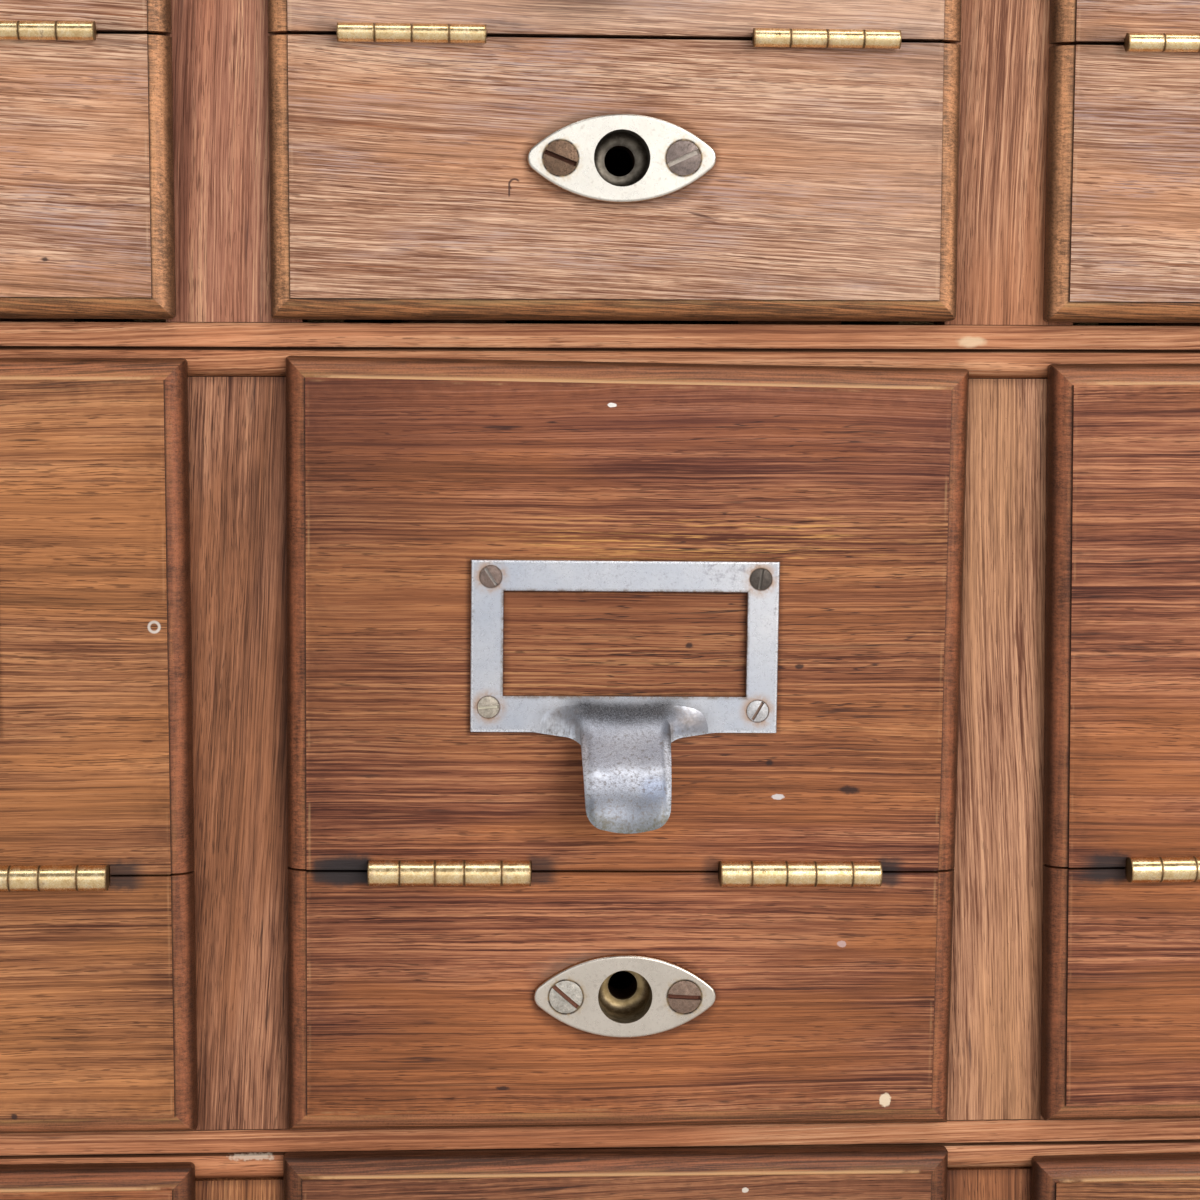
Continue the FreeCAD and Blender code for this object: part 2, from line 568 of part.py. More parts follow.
def ball_catch(sgn):
    x = sgn * CATCH_X
    y0 = FRONT_BACK + 0.3
    case = cyl(3.0, 11.0, V(x, y0, CATCH_Z), V(0, 1, 0))
    ball = Part.makeSphere(2.2, V(x, y0 + 0.9, CATCH_Z))
    shell = case.cut(Part.makeSphere(2.2, V(x, y0 + 0.9, CATCH_Z)))
    strike = box(x - 4.3, x + 4.3, FRONT_BACK - 1.6, FRONT_BACK, CATCH_Z - 8, CATCH_Z + 8)
    dimple = Part.makeSphere(2.75, V(x, y0 + 0.9, CATCH_Z))
    return case, shell, ball, strike.cut(dimple), strike, dimple


# =======================================================================================
# Carcass
# =======================================================================================
HALF_IN_L = COL_X[1] - OPEN_W / 2          # inner edge of the left outer stile
HALF_IN_R = COL_X[3] + OPEN_W / 2
XL = HALF_IN_L - OUT_STILE_W               # outer faces of the case
XR = HALF_IN_R + OUT_STILE_W
STILE_X = [(COL_X[1] + OPEN_W / 2, COL_X[2] - OPEN_W / 2), (COL_X[2] + OPEN_W / 2, COL_X[3] - OPEN_W / 2)]


def rail(z0, h, x0, x1):
    """Rail with a flat upper band, a quirk and a bead along its lower edge."""
    bead = 6.3
    q = 0.9
    p = [V(x0, FACE_T, z0), V(x0, FACE_T, z0 + h), V(x0, 0.0, z0 + h), V(x0, 0.0, z0 + bead + q)]
    e = [Part.makeLine(p[0], p[1]), Part.makeLine(p[1], p[2]), Part.makeLine(p[2], p[3])]
    qb = V(x0, 1.0, z0 + bead + q / 2)
    b0 = V(x0, 0.1, z0 + bead)
    b1 = V(x0, -0.6, z0 + bead * 0.52)
    b2 = V(x0, 1.5, z0)
    e += [Part.makeLine(p[3], qb), Part.makeLine(qb, b0), Part.Arc(b0, b1, b2).toShape(), Part.makeLine(b2, p[0])]
    return Part.Face(Part.Wire(e)).extrude(V(x1 - x0, 0, 0))


rails = [rail(ROW_Z[2] - RAIL_H, RAIL_H, HALF_IN_L, HALF_IN_R),
         rail(ROW_Z[1] - RAIL_H, RAIL_H, HALF_IN_L, HALF_IN_R)]
rails.append(rail(PLINTH_H, BASE_T, HALF_IN_L, HALF_IN_R))
rails.append(rail(ROW_Z[1] + OPEN_H, CASE_TOP - ROW_Z[1] - OPEN_H, HALF_IN_L, HALF_IN_R))
add("front_rails", rails)

outer = []
for a, b in ((XL, HALF_IN_L), (HALF_IN_R, XR)):
    s = box(a, b, 0, FACE_T, PLINTH_H, CASE_TOP)
    ex = [e for e in s.Edges if abs(e.BoundBox.YMax) < 1e-6 and e.BoundBox.ZLength > 100
          and (abs(e.BoundBox.XMin - (XL if a == XL else XR)) < 1e-6)]
    s = s.makeFillet(2.0, ex)
    outer.append(s)

inner = []
for (a, b) in STILE_X:
    for r in (1, 2, 3):
        z0, z1 = ROW_Z[r] + 0.15, ROW_Z[r] + OPEN_H - 0.15
        inner.append(box(a, b, 0.1, FACE_T, z0, z1))
add("face_stiles", outer + inner)

parts_x = [((a + b) / 2 - PARTITION_T / 2, (a + b) / 2 + PARTITION_T / 2) for a, b in STILE_X]
add("partitions", [box(a, b, FACE_T, DEPTH - BACK_T, ROW_Z[3], CASE_TOP) for a, b in parts_x])
add("base_board", [box(XL + SIDE_T, XR - SIDE_T, FACE_T, DEPTH - BACK_T, PLINTH_H, ROW_Z[3])])


def side_frame(x0, x1, xr0, xr1):
    """Two stiles and three rails with two loose panels in their grooves."""
    y0, y1 = FACE_T, DEPTH
    st = 52.0
    z0, z1 = PLINTH_H, CASE_TOP
    rails_z = ((z0, z0 + 70), ((z0 + z1) / 2 - 26, (z0 + z1) / 2 + 26), (z1 - 60, z1))
    pieces = [box(x0, x1, y0, y0 + st, z0, z1), box(x0, x1, y1 - st, y1, z0, z1)]
    for a, b in rails_z:
        pieces.append(box(x0, x1, y0 + st, y1 - st, a, b))
    xm0, xm1 = (x0 + x1) / 2 - 4, (x0 + x1) / 2 + 4
    g = 8.0
    pan, grooves = [], []
    for a, b in ((rails_z[0][1], rails_z[1][0]), (rails_z[1][1], rails_z[2][0])):
        grooves.append(box(xm0, xm1, y0 + st - g, y1 - st + g, a - g, b + g))
        pan.append(box(xm0, xm1, y0 + st - g + 1, y1 - st + g - 1, a - g + 1, b + g - 1))
    outer_x = x0 if abs(x0) > abs(x1) else x1
    eased = []
    for p in pieces:
        ed = [e for e in p.Edges if abs(e.BoundBox.XMin - outer_x) < 1e-6 and abs(e.BoundBox.XMax - outer_x) < 1e-6]
        eased.append(p.makeChamfer(0.6, ed))
    pieces = [p.cut(grooves) for p in eased]
    reb = box(xr0, xr1, DEPTH - BACK_T, DEPTH + 1, z0 - 1, z1 + 1)
    pieces[1] = pieces[1].cut(reb)
    # small ovolo around each panel on the outer face
    return pieces, pan


sf, sp = side_frame(XL, XL + SIDE_T, XL + SIDE_T - BACK_REBATE, XL + SIDE_T + 5)
sf2, sp2 = side_frame(XR - SIDE_T, XR, XR - SIDE_T - 5, XR - SIDE_T + BACK_REBATE)
add("side_frames", sf + sf2)
add("side_panels", sp + sp2)

# back: five vertical boards with tongues
bx0, bx1 = XL + SIDE_T - BACK_REBATE, XR - SIDE_T + BACK_REBATE
nb = 5
bw = (bx1 - bx0) / nb
boards = []
for i in range(nb):
    a, b = bx0 + i * bw + (0.4 if i else 0.0), bx0 + (i + 1) * bw - (0.4 if i < nb - 1 else 0.0)
    s = box(a, b, DEPTH - BACK_T, DEPTH, PLINTH_H, CASE_TOP)
    zc = (PLINTH_H, CASE_TOP)
    if i < nb - 1:
        s = s.fuse(box(b, b + 4.5, DEPTH - 6, DEPTH - 3, zc[0], zc[1])).removeSplitter()
    if i:
        s = s.cut(box(a - 1, a + 4.6, DEPTH - 6, DEPTH - 3, zc[0] - 1, zc[1] + 1))
    # V joints on the outside
    for xx in (a, b):
        v = Part.Face(Part.makePolygon([V(xx - 1.5, DEPTH + 0.001, zc[0] - 1), V(xx + 1.5, DEPTH + 0.001, zc[0] - 1),
                                        V(xx, DEPTH - 1.5, zc[0] - 1), V(xx - 1.5, DEPTH + 0.001, zc[0] - 1)])
                      ).extrude(V(0, 0, zc[1] - zc[0] + 2))
        s = s.cut(v)
    boards.append(s)

# slotted countersunk screws that hold the back boards
back_screws, envs = [], []
for i in range(nb):
    for fx in (0.22, 0.78):
        for z in (PLINTH_H + 9.5, CASE_TOP - 9.0):
            s, e = screw(3.6, 0.9, 1.9, 22.0, 0.9, 0.8, 33 * (i + 1) + 70 * fx)
            for t in (s, e):
                t.rotate(V(0, 0, 0), V(1, 0, 0), -90)
                t.translate(V(bx0 + (i + fx) * bw, DEPTH, z))
            back_screws.append(s)
            envs.append(e)
for i in range(nb):
    near = [e for e in envs if boards[i].BoundBox.intersect(e.BoundBox)]
    boards[i] = boards[i].cut(near)
add("back_boards", boards)

# top board with a moulded edge on the front and the two ends
tx0, tx1, ty0, ty1 = XL - TOP_OVER, XR + TOP_OVER, -TOP_OVER, DEPTH
zt0, zt1 = CASE_TOP, CASE_TOP + TOP_T


def moulded_slab(x0, x1, y0, y1, z0, z1, r, step, back=True):
    """Slab whose upper arris on the front and ends is a stepped ovolo."""
    s = box(x0, x1, y0, y1, z0, z1)
    # remove the corner square, then leave the quarter round
    def tool(p, d, ln, n):
        # p on the outer top arris, d along it, n inward
        a = p - V(0, 0, r + step)
        q = [p + V(0, 0, 1) - n * 1.0, p + V(0, 0, 1) + n * (r + step), p + n * (r + step), ]
        c0 = p + n * (r + step)
        c1 = c0 - V(0, 0, step)
        m = p + n * (step + r * (1 - math.cos(math.radians(45)))) + V(0, 0, -step - r * (1 - math.sin(math.radians(45))))
        c2 = p + n * step - V(0, 0, step + r)
        c3 = p - n * 1.0 - V(0, 0, step + r)
        c4 = p - n * 1.0 + V(0, 0, 1)
        c5 = c0 + V(0, 0, 1)
        e = [Part.makeLine(c5, c1), Part.Arc(c1, m, c2).toShape(), Part.makeLine(c2, c3),
             Part.makeLine(c3, c4), Part.makeLine(c4, c5)]
        f = Part.Face(Part.Wire(e))
        return f.extrude(d * ln)
    w, dp = x1 - x0, y1 - y0
    tools = [tool(V(x0 - 30, y0, z1), V(1, 0, 0), w + 60, V(0, 1, 0)),
             tool(V(x0, y0 - 30, z1), V(0, 1, 0), dp + 60, V(1, 0, 0)),
             tool(V(x1, y0 - 30, z1), V(0, 1, 0), dp + 60, V(-1, 0, 0))]
    return s, tools


top, tt = moulded_slab(tx0, tx1, ty0, ty1, zt0, zt1, 9.0, 2.0)
top = top.cut(tt)
add("top_board", [top])

# plinth: mitred front and ends with a rounded upper edge, a back rail, corner blocks
PX0, PX1, PY0 = XL - 8.0, XR + 8.0, -8.0
pt = 20.0
ring = box(PX0, PX1, PY0, DEPTH, 0, PLINTH_H)
ring, tools = moulded_slab(PX0, PX1, PY0, DEPTH, 0, PLINTH_H, 6.0, 2.0)
ring = ring.cut(tools)
inner_box = box(PX0 + pt, PX1 - pt, PY0 + pt, DEPTH + 1, -1, PLINTH_H + 1)
ring = ring.cut(inner_box)


def wedge(pts, z0, z1):
    return Part.Face(Part.makePolygon([V(x, y, z0) for x, y in pts] + [V(pts[0][0], pts[0][1], z0)])).extrude(V(0, 0, z1 - z0))


fw = wedge([(PX0, PY0), (PX0 + pt, PY0 + pt), (PX1 - pt, PY0 + pt), (PX1, PY0)], -1, PLINTH_H + 1)
lw = wedge([(PX0, PY0), (PX0 + pt, PY0 + pt), (PX0 + pt, DEPTH + 1), (PX0, DEPTH + 1)], -1, PLINTH_H + 1)
rw = wedge([(PX1, PY0), (PX1 - pt, PY0 + pt), (PX1 - pt, DEPTH + 1), (PX1, DEPTH + 1)], -1, PLINTH_H + 1)
add("plinth", [ring.common(fw), ring.common(lw), ring.common(rw)])
back_bar = box(PX0 + pt, PX1 - pt, DEPTH - 32, DEPTH - 12, 0, PLINTH_H)
blocks = []
for x in (PX0 + pt, PX1 - pt - 30):
    blocks.append(box(x, x + 30, PY0 + pt, PY0 + pt + 30, 6, PLINTH_H))
    blocks.append(box(x, x + 30, DEPTH - 62, DEPTH - 32, 6, PLINTH_H))
mid_bar = box(-12, 12, PY0 + pt, DEPTH - 32, 12, PLINTH_H)
add("plinth_bearers", [back_bar, mid_bar] + blocks)

# runners, guides and stops
runners, guides, stops = [], [], []
for c in (1, 2, 3):
    wall_l = (XL + SIDE_T) if c == 1 else parts_x[c - 2][1]
    wall_r = (XR - SIDE_T) if c == 3 else parts_x[c - 1][0]
    xl, xr = COL_X[c] - OPEN_W / 2, COL_X[c] + OPEN_W / 2
    for r in (1, 2, 3):
        z = ROW_Z[r]
        if r != 3:
            runners.append(box(wall_l, xl + RUNNER_W, FACE_T, DEPTH - BACK_T, z - RAIL_H, z))
            runners.append(box(xr - RUNNER_W, wall_r, FACE_T, DEPTH - BACK_T, z - RAIL_H, z))
        guides.append(box(wall_l, xl, FACE_T, DEPTH - BACK_T - 6, z, z + GUIDE_H))
        guides.append(box(xr, wall_r, FACE_T, DEPTH - BACK_T - 6, z, z + GUIDE_H))
        for sx in (-42, 42):
            stops.append(box(COL_X[c] + sx - 13, COL_X[c] + sx + 13, FRONT_BACK, FACE_T - 1.5, z, z + 6.5))
    # kickers above the top row
    z = ROW_Z[1] + OPEN_H
    runners.append(box(wall_l, xl + RUNNER_W, FACE_T, DEPTH - BACK_T, z, z + RAIL_H))
    runners.append(box(xr - RUNNER_W, wall_r, FACE_T, DEPTH - BACK_T, z, z + RAIL_H))
add("drawer_runners", runners)
add("drawer_guides", guides)
add("drawer_stops", stops)
# top and bottom cleats carry the back screws: bore them in what they enter
top_cleat = box(XL + SIDE_T, XR - SIDE_T, DEPTH - BACK_T - 16, DEPTH - BACK_T, CASE_TOP - 18, CASE_TOP)
for a, b in parts_x:
    top_cleat = top_cleat.cut(box(a, b, 0, DEPTH, CASE_TOP - 40, CASE_TOP + 1))
top_cleat = top_cleat.cut([e for e in envs])
for nm in ("base_board", "side_frames", "partitions", "drawer_runners"):
    out = []
    for s in PARTS[nm]:
        near = [e for e in envs if s.BoundBox.intersect(e.BoundBox)]
        out.append(s.cut(near) if near else s)
    add(nm, out)
add("back_cleat", [top_cleat])
add("back_screws", back_screws)

# =======================================================================================
# Drawers
# =======================================================================================
HOLDER = holder()
PLATE, CUP_FLOOR_Y = rod_plate()
SIDES, BACK, BOTTOM = drawer_box()

for key in sorted(FRONTS):
    r, c = key
    name = "r%dc%d" % key
    low, flap = front_pair(key)
    zsl, zsr = FRONTS[key][8], FRONTS[key][9]
    tilt = math.degrees(math.atan2(zsr - zsl, 168.0))
    zmid = (zsl + zsr) / 2
    low_fit, flap_fit = [], []
    low_cut, flap_cut = [], []
    kind, xa, xb = HINGES[key]
    for xc in (xa, xb):
        h = hinge(kind, xc)
        g = {k: ([place(s, tilt, 0, zmid) for s in v] if isinstance(v, list) else place(v, tilt, 0, zmid))
             for k, v in h.items()}
        low_fit += [g["lower"], g["pin"]] + g["sl"]
        flap_fit += [g["upper"]] + g["su"]
        low_cut += [g["mort_l"], g["well"]] + g["el"]
        flap_cut += [g["mort_u"], g["well"]] + g["eu"]
    # rod plate, cup and two screws
    px, pz, pt_deg, a1, a2 = PLATES[key]
    plate = place(PLATE, pt_deg, px, pz)
    cup_tool = place(cyl(CUP_OUT_R, CUP_FLOOR_Y + CUP_FLOOR + 20, V(0, -20, 0), V(0, 1, 0)), pt_deg, px, pz)
    bore = cyl(ROD_R, 60, V(px, -30, pz), V(0, 1, 0))
    low_cut += [cup_tool, bore]
    env_p = []
    for sx, ang in ((-1, a1), (1, a2)):
        s, e = screw(4.15, 2.9, 2.0, 13.5, 1.1, 0.9, ang, 0.35)
        s, e = to_front(s), to_front(e)
        for t in (s, e):
            t.translate(V(sx * PLATE_SCREW_X, -FIELD - PLATE_T, 0))
        low_fit.append(place(s, pt_deg, px, pz))
        env_p.append(place(e, pt_deg, px, pz))
        plate = plate.cut(place(cyl(4.32, 0.4, V(sx * PLATE_SCREW_X, -FIELD - PLATE_T - 0.05, 0), V(0, 1, 0)), pt_deg, px, pz))
    plate = plate.cut(env_p)
    low_cut += env_p
    low_fit.insert(0, plate)
    # ball catches
    side_tools, strikes = [], []
    for sgn in (-1, 1):
        case, shell, ball, strike, strike_env, dimple = ball_catch(sgn)
        low_fit += [shell, ball]
        flap_fit.append(strike)
        flap_cut += [strike_env, dimple]
    # label holder with four screws
    hx, hz, ht = HOLDERS[key][:3]
    hold = HOLDER.copy()
    env_h = []
    for (sx, sz), ang in zip(HOLDER_SCREWS, HOLDERS[key][3:]):
        s, e = screw(2.62, 1.5, 1.3, 12.0, 0.75, 0.6, ang, 0.25)
        s, e = to_front(s), to_front(e)
        for t in (s, e):
            t.translate(V(sx, -FIELD - HOLDER_T, sz))
        flap_fit.append(place(s, ht, hx, hz))
        seat = cyl(2.78, 0.35, V(sx, -FIELD - HOLDER_T - 0.05, sz), V(0, 1, 0))
        env_h.append(e)
        hold = hold.cut(seat)
    for e in env_h:
        hold = hold.cut(e)
    flap_fit.insert(0, place(hold, ht, hx, hz))
    flap_cut += [place(e, ht, hx, hz) for e in env_h]
    # sockets for the dovetails and the groove for the bottom board
    for x0, x1 in ((-REAR_HALF, -REAR_HALF + BOX_SIDE_T), (REAR_HALF - BOX_SIDE_T, REAR_HALF)):
        low_cut += tails(FRONT_TAILS, FRONT_BACK, FRONT_BACK - LAP, x0, x1)
    si = REAR_HALF - BOX_SIDE_T
    low_cut.append(box(-si, si, FRONT_BACK - 4.0, FRONT_BACK + 1, BOTTOM_Z, BOTTOM_Z + BOTTOM_T))
    low = low.cut(low_cut)
    flap = flap.cut(flap_cut)
    cases = [ball_catch(s)[0] for s in (-1, 1)]
    sides = [s.cut(cases) for s in SIDES]
    back = BACK.cut(cyl(ROD_R, 30, V(px, BOX_END - 20, pz), V(0, 1, 0)))
    groups = {"lower_front_" + name: [low], "lower_fittings_" + name: low_fit,
              "drop_front_" + name: [flap], "drop_fittings_" + name: flap_fit,
              "drawer_box_" + name: sides + [back, BOTTOM]}
    for nm, sol in groups.items():
        moved = []
        for s in sol:
            m = s.copy()
            m.translate(V(COL_X[c], 0, ROW_Z[r]))
            moved.append(m)
        add(nm, moved)

# =======================================================================================
# Export
# =======================================================================================
os.makedirs("parts", exist_ok=True)
shift = V(X_SHIFT, Y_SHIFT, 0)
total = FreeCAD.BoundBox()
for nm in sorted(PARTS):
    sol = []
    for s in PARTS[nm]:
        m = s.copy()
        m.translate(shift)
        sol.append(m)
    bad = [i for i, s in enumerate(sol) if not s.isValid() or s.Volume <= 0]
    shape = sol[0] if len(sol) == 1 else Part.makeCompound(sol)
    total.add(shape.BoundBox)
    shape.exportStep("parts/" + nm + ".step")
    print("%-26s solids %3d  volume %10.1f%s" % (nm, len(sol), sum(s.Volume for s in sol), "  BAD %s" % bad if bad else ""))
print("box", total)
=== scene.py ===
import bpy
import math
import random
import numpy as np
from mathutils import Vector, Matrix

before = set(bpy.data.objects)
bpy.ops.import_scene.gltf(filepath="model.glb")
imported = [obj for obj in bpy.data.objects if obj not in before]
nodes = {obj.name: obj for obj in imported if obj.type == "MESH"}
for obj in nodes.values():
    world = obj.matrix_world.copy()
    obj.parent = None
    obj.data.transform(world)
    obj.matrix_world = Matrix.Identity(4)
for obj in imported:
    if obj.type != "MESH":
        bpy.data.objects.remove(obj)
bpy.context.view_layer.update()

scene = bpy.context.scene

# ---------------------------------------------------------------------------
# Places of the model, in millimetres (they repeat the construction's own numbers)
# ---------------------------------------------------------------------------
XS, YS = 0.5, -194.8
COL_X = {1: -191.0, 2: 0.0, 3: 190.0}
ROW_Z = {3: 71.0, 2: 273.6, 1: 476.2}
FIELD = 7.4
FRONTS = {
 (1, 1): (-85.9, -86.1, 81.7, 81.6, 193.5, 193.7, 0.9, 0.8, 68.0, 68.3),
 (1, 2): (-86.4, -86.4, 80.9, 81.2, 193.4, 193.2, 0.85, 0.95, 68.6, 68.0),
 (1, 3): (-87.0, -86.8, 81.4, 81.8, 193.8, 193.3, 0.8, 0.9, 67.9, 68.2),
 (2, 1): (-83.8, -84.1, 84.2, 84.0, 193.6, 194.0, 0.8, 0.9, 67.6, 67.3),
 (2, 2): (-83.0, -84.3, 84.7, 82.9, 194.7, 191.9, 0.9, 0.6, 68.2, 66.6),
 (2, 3): (-85.4, -82.6, 82.8, 85.3, 193.2, 194.2, 0.8, 0.8, 67.2, 68.0),
 (3, 1): (-84.6, -84.3, 83.1, 83.0, 195.0, 194.8, 0.9, 0.8, 67.8, 67.4),
 (3, 2): (-85.7, -85.4, 83.3, 83.0, 197.1, 196.4, 0.8, 0.9, 67.5, 67.9),
 (3, 3): (-84.7, -84.5, 83.4, 83.6, 193.4, 194.6, 0.8, 0.8, 67.3, 67.6),
}

PLATES = {
 (1, 1): (-2.0, 38.9, 0.3), (1, 2): (-1.6, 39.6, 0.4), (1, 3): (-2.6, 39.0, -0.4),
 (2, 1): (0.4, 36.4, 0.5), (2, 2): (0.1, 35.9, -0.6), (2, 3): (-0.5, 36.6, 0.2),
 (3, 1): (-0.4, 36.8, -0.3), (3, 2): (-0.8, 37.2, 0.2), (3, 3): (-0.2, 36.2, 0.5)}
PLATE_SCREW_X = 14.8
HOLDERS = {
 (1, 1): (-2.2, 124.6, 0.2), (1, 2): (-2.1, 124.2, 0.1), (1, 3): (-2.6, 124.0, -0.3),
 (2, 1): (0.2, 123.6, 0.3), (2, 2): (-0.4, 123.9, -0.5), (2, 3): (-0.8, 124.3, 0.2),
 (3, 1): (-0.6, 123.9, -0.2), (3, 2): (-1.0, 124.6, 0.1), (3, 3): (-0.4, 123.5, 0.4)}
HOLDER_SCREWS = ((-33.0, 17.1), (33.2, 16.9), (-33.3, -15.05), (33.0, -15.8))
HINGE_KIND = {
 "long": (40.0, 3.15, (0.0, 0.193, 0.41, 0.59, 0.82, 1.0)),
 "short": (35.3, 2.2, (0.0, 0.25, 0.5, 0.75, 1.0))}
HINGES = {
 (1, 1): ("short", -51.9, 47.0), (1, 2): ("short", -51.8, 47.3), (1, 3): ("short", -52.3, 46.8),
 (2, 1): ("long", -43.2, 43.9), (2, 2): ("long", -43.5, 43.5), (2, 3): ("long", -43.8, 43.0),
 (3, 1): ("long", -44.0, 43.0), (3, 2): ("long", -44.3, 42.6), (3, 3): ("long", -43.6, 43.4)}

# ---------------------------------------------------------------------------
# Small helpers for node trees
# ---------------------------------------------------------------------------
def srgb(r, g, b):
    """sRGB 0-255 to linear."""
    out = []
    for c in (r, g, b):
        c /= 255.0
        out.append(c / 12.92 if c <= 0.04045 else ((c + 0.055) / 1.055) ** 2.4)
    return (*out, 1.0)


class Tree:
    def __init__(self, tree):
        self.t = tree
        self.n = tree.nodes
        self.l = tree.links

    def new(self, kind):
        return self.n.new(kind)

    def put(self, sock, v):
        if isinstance(v, bpy.types.NodeSocket):
            self.l.new(v, sock)
        elif v is not None:
            sock.default_value = v

    def math(self, op, a, b=None, c=None, clamp=False):
        m = self.new("ShaderNodeMath")
        m.operation = op
        m.use_clamp = clamp
        self.put(m.inputs[0], a)
        self.put(m.inputs[1], b)
        self.put(m.inputs[2], c)
        return m.outputs[0]

    def add(self, a, b): return self.math("ADD", a, b)
    def sub(self, a, b): return self.math("SUBTRACT", a, b)
    def mul(self, a, b): return self.math("MULTIPLY", a, b)
    def mx(self, a, b): return self.math("MAXIMUM", a, b)
    def mn(self, a, b): return self.math("MINIMUM", a, b)

    def xyz(self, v):
        s = self.new("ShaderNodeSeparateXYZ")
        self.put(s.inputs[0], v)
        return s.outputs[0], s.outputs[1], s.outputs[2]

    def vec(self, x, y, z):
        c = self.new("ShaderNodeCombineXYZ")
        self.put(c.inputs[0], x)
        self.put(c.inputs[1], y)
        self.put(c.inputs[2], z)
        return c.outputs[0]

    def vmath(self, op, a, b):
        m = self.new("ShaderNodeVectorMath")
        m.operation = op
        self.put(m.inputs[0], a)
        self.put(m.inputs[1], b)
        return m.outputs[0]

    def noise(self, v, scale=1.0, detail=2.0, rough=0.5, dist=0.0, lac=2.0, color=False):
        t = self.new("ShaderNodeTexNoise")
        t.noise_dimensions = "3D"
        self.put(t.inputs["Vector"], v)
        t.inputs["Scale"].default_value = scale
        t.inputs["Detail"].default_value = detail
        t.inputs["Roughness"].default_value = rough
        t.inputs["Lacunarity"].default_value = lac
        t.inputs["Distortion"].default_value = dist
        return t.outputs["Color" if color else "Fac"]

    def voronoi(self, v, scale=1.0, feature="F1", rand=1.0, out="Distance"):
        t = self.new("ShaderNodeTexVoronoi")
        t.feature = feature
        self.put(t.inputs["Vector"], v)
        t.inputs["Scale"].default_value = scale
        t.inputs["Randomness"].default_value = rand
        return t.outputs[out]

    def step(self, v, lo, hi, a=0.0, b=1.0, smooth=True):
        """Value v from lo..hi to a..b, clamped."""
        m = self.new("ShaderNodeMapRange")
        m.interpolation_type = "SMOOTHSTEP" if smooth else "LINEAR"
        m.clamp = True
        self.put(m.inputs["Value"], v)
        self.put(m.inputs["From Min"], lo)
        self.put(m.inputs["From Max"], hi)
        self.put(m.inputs["To Min"], a)
        self.put(m.inputs["To Max"], b)
        return m.outputs[0]

    def mix(self, f, a, b, blend="MIX"):
        m = self.new("ShaderNodeMix")
        m.data_type = "RGBA"
        m.blend_type = blend
        m.clamp_factor = True
        self.put(m.inputs[0], f)
        self.put(m.inputs[6], a)
        self.put(m.inputs[7], b)
        return m.outputs[2]

    def ramp(self, f, stops, mode="LINEAR"):
        r = self.new("ShaderNodeValToRGB")
        r.color_ramp.interpolation = mode
        e = r.color_ramp.elements
        while len(e) < len(stops):
            e.new(0.5)
        for i, (p, c) in enumerate(stops):
            e[i].position = p
            e[i].color = c
        self.put(r.inputs[0], f)
        return r.outputs[0]


def group(name, ins, outs):
    g = bpy.data.node_groups.new(name, "ShaderNodeTree")
    for n, k in ins:
        g.interface.new_socket(name=n, in_out="INPUT", socket_type=k)
    for n, k in outs:
        g.interface.new_socket(name=n, in_out="OUTPUT", socket_type=k)
    t = Tree(g)
    gi = g.nodes.new("NodeGroupInput")
    go = g.nodes.new("NodeGroupOutput")
    return g, t, gi.outputs, go.inputs


def absv(t, a):
    return t.math("ABSOLUTE", a)


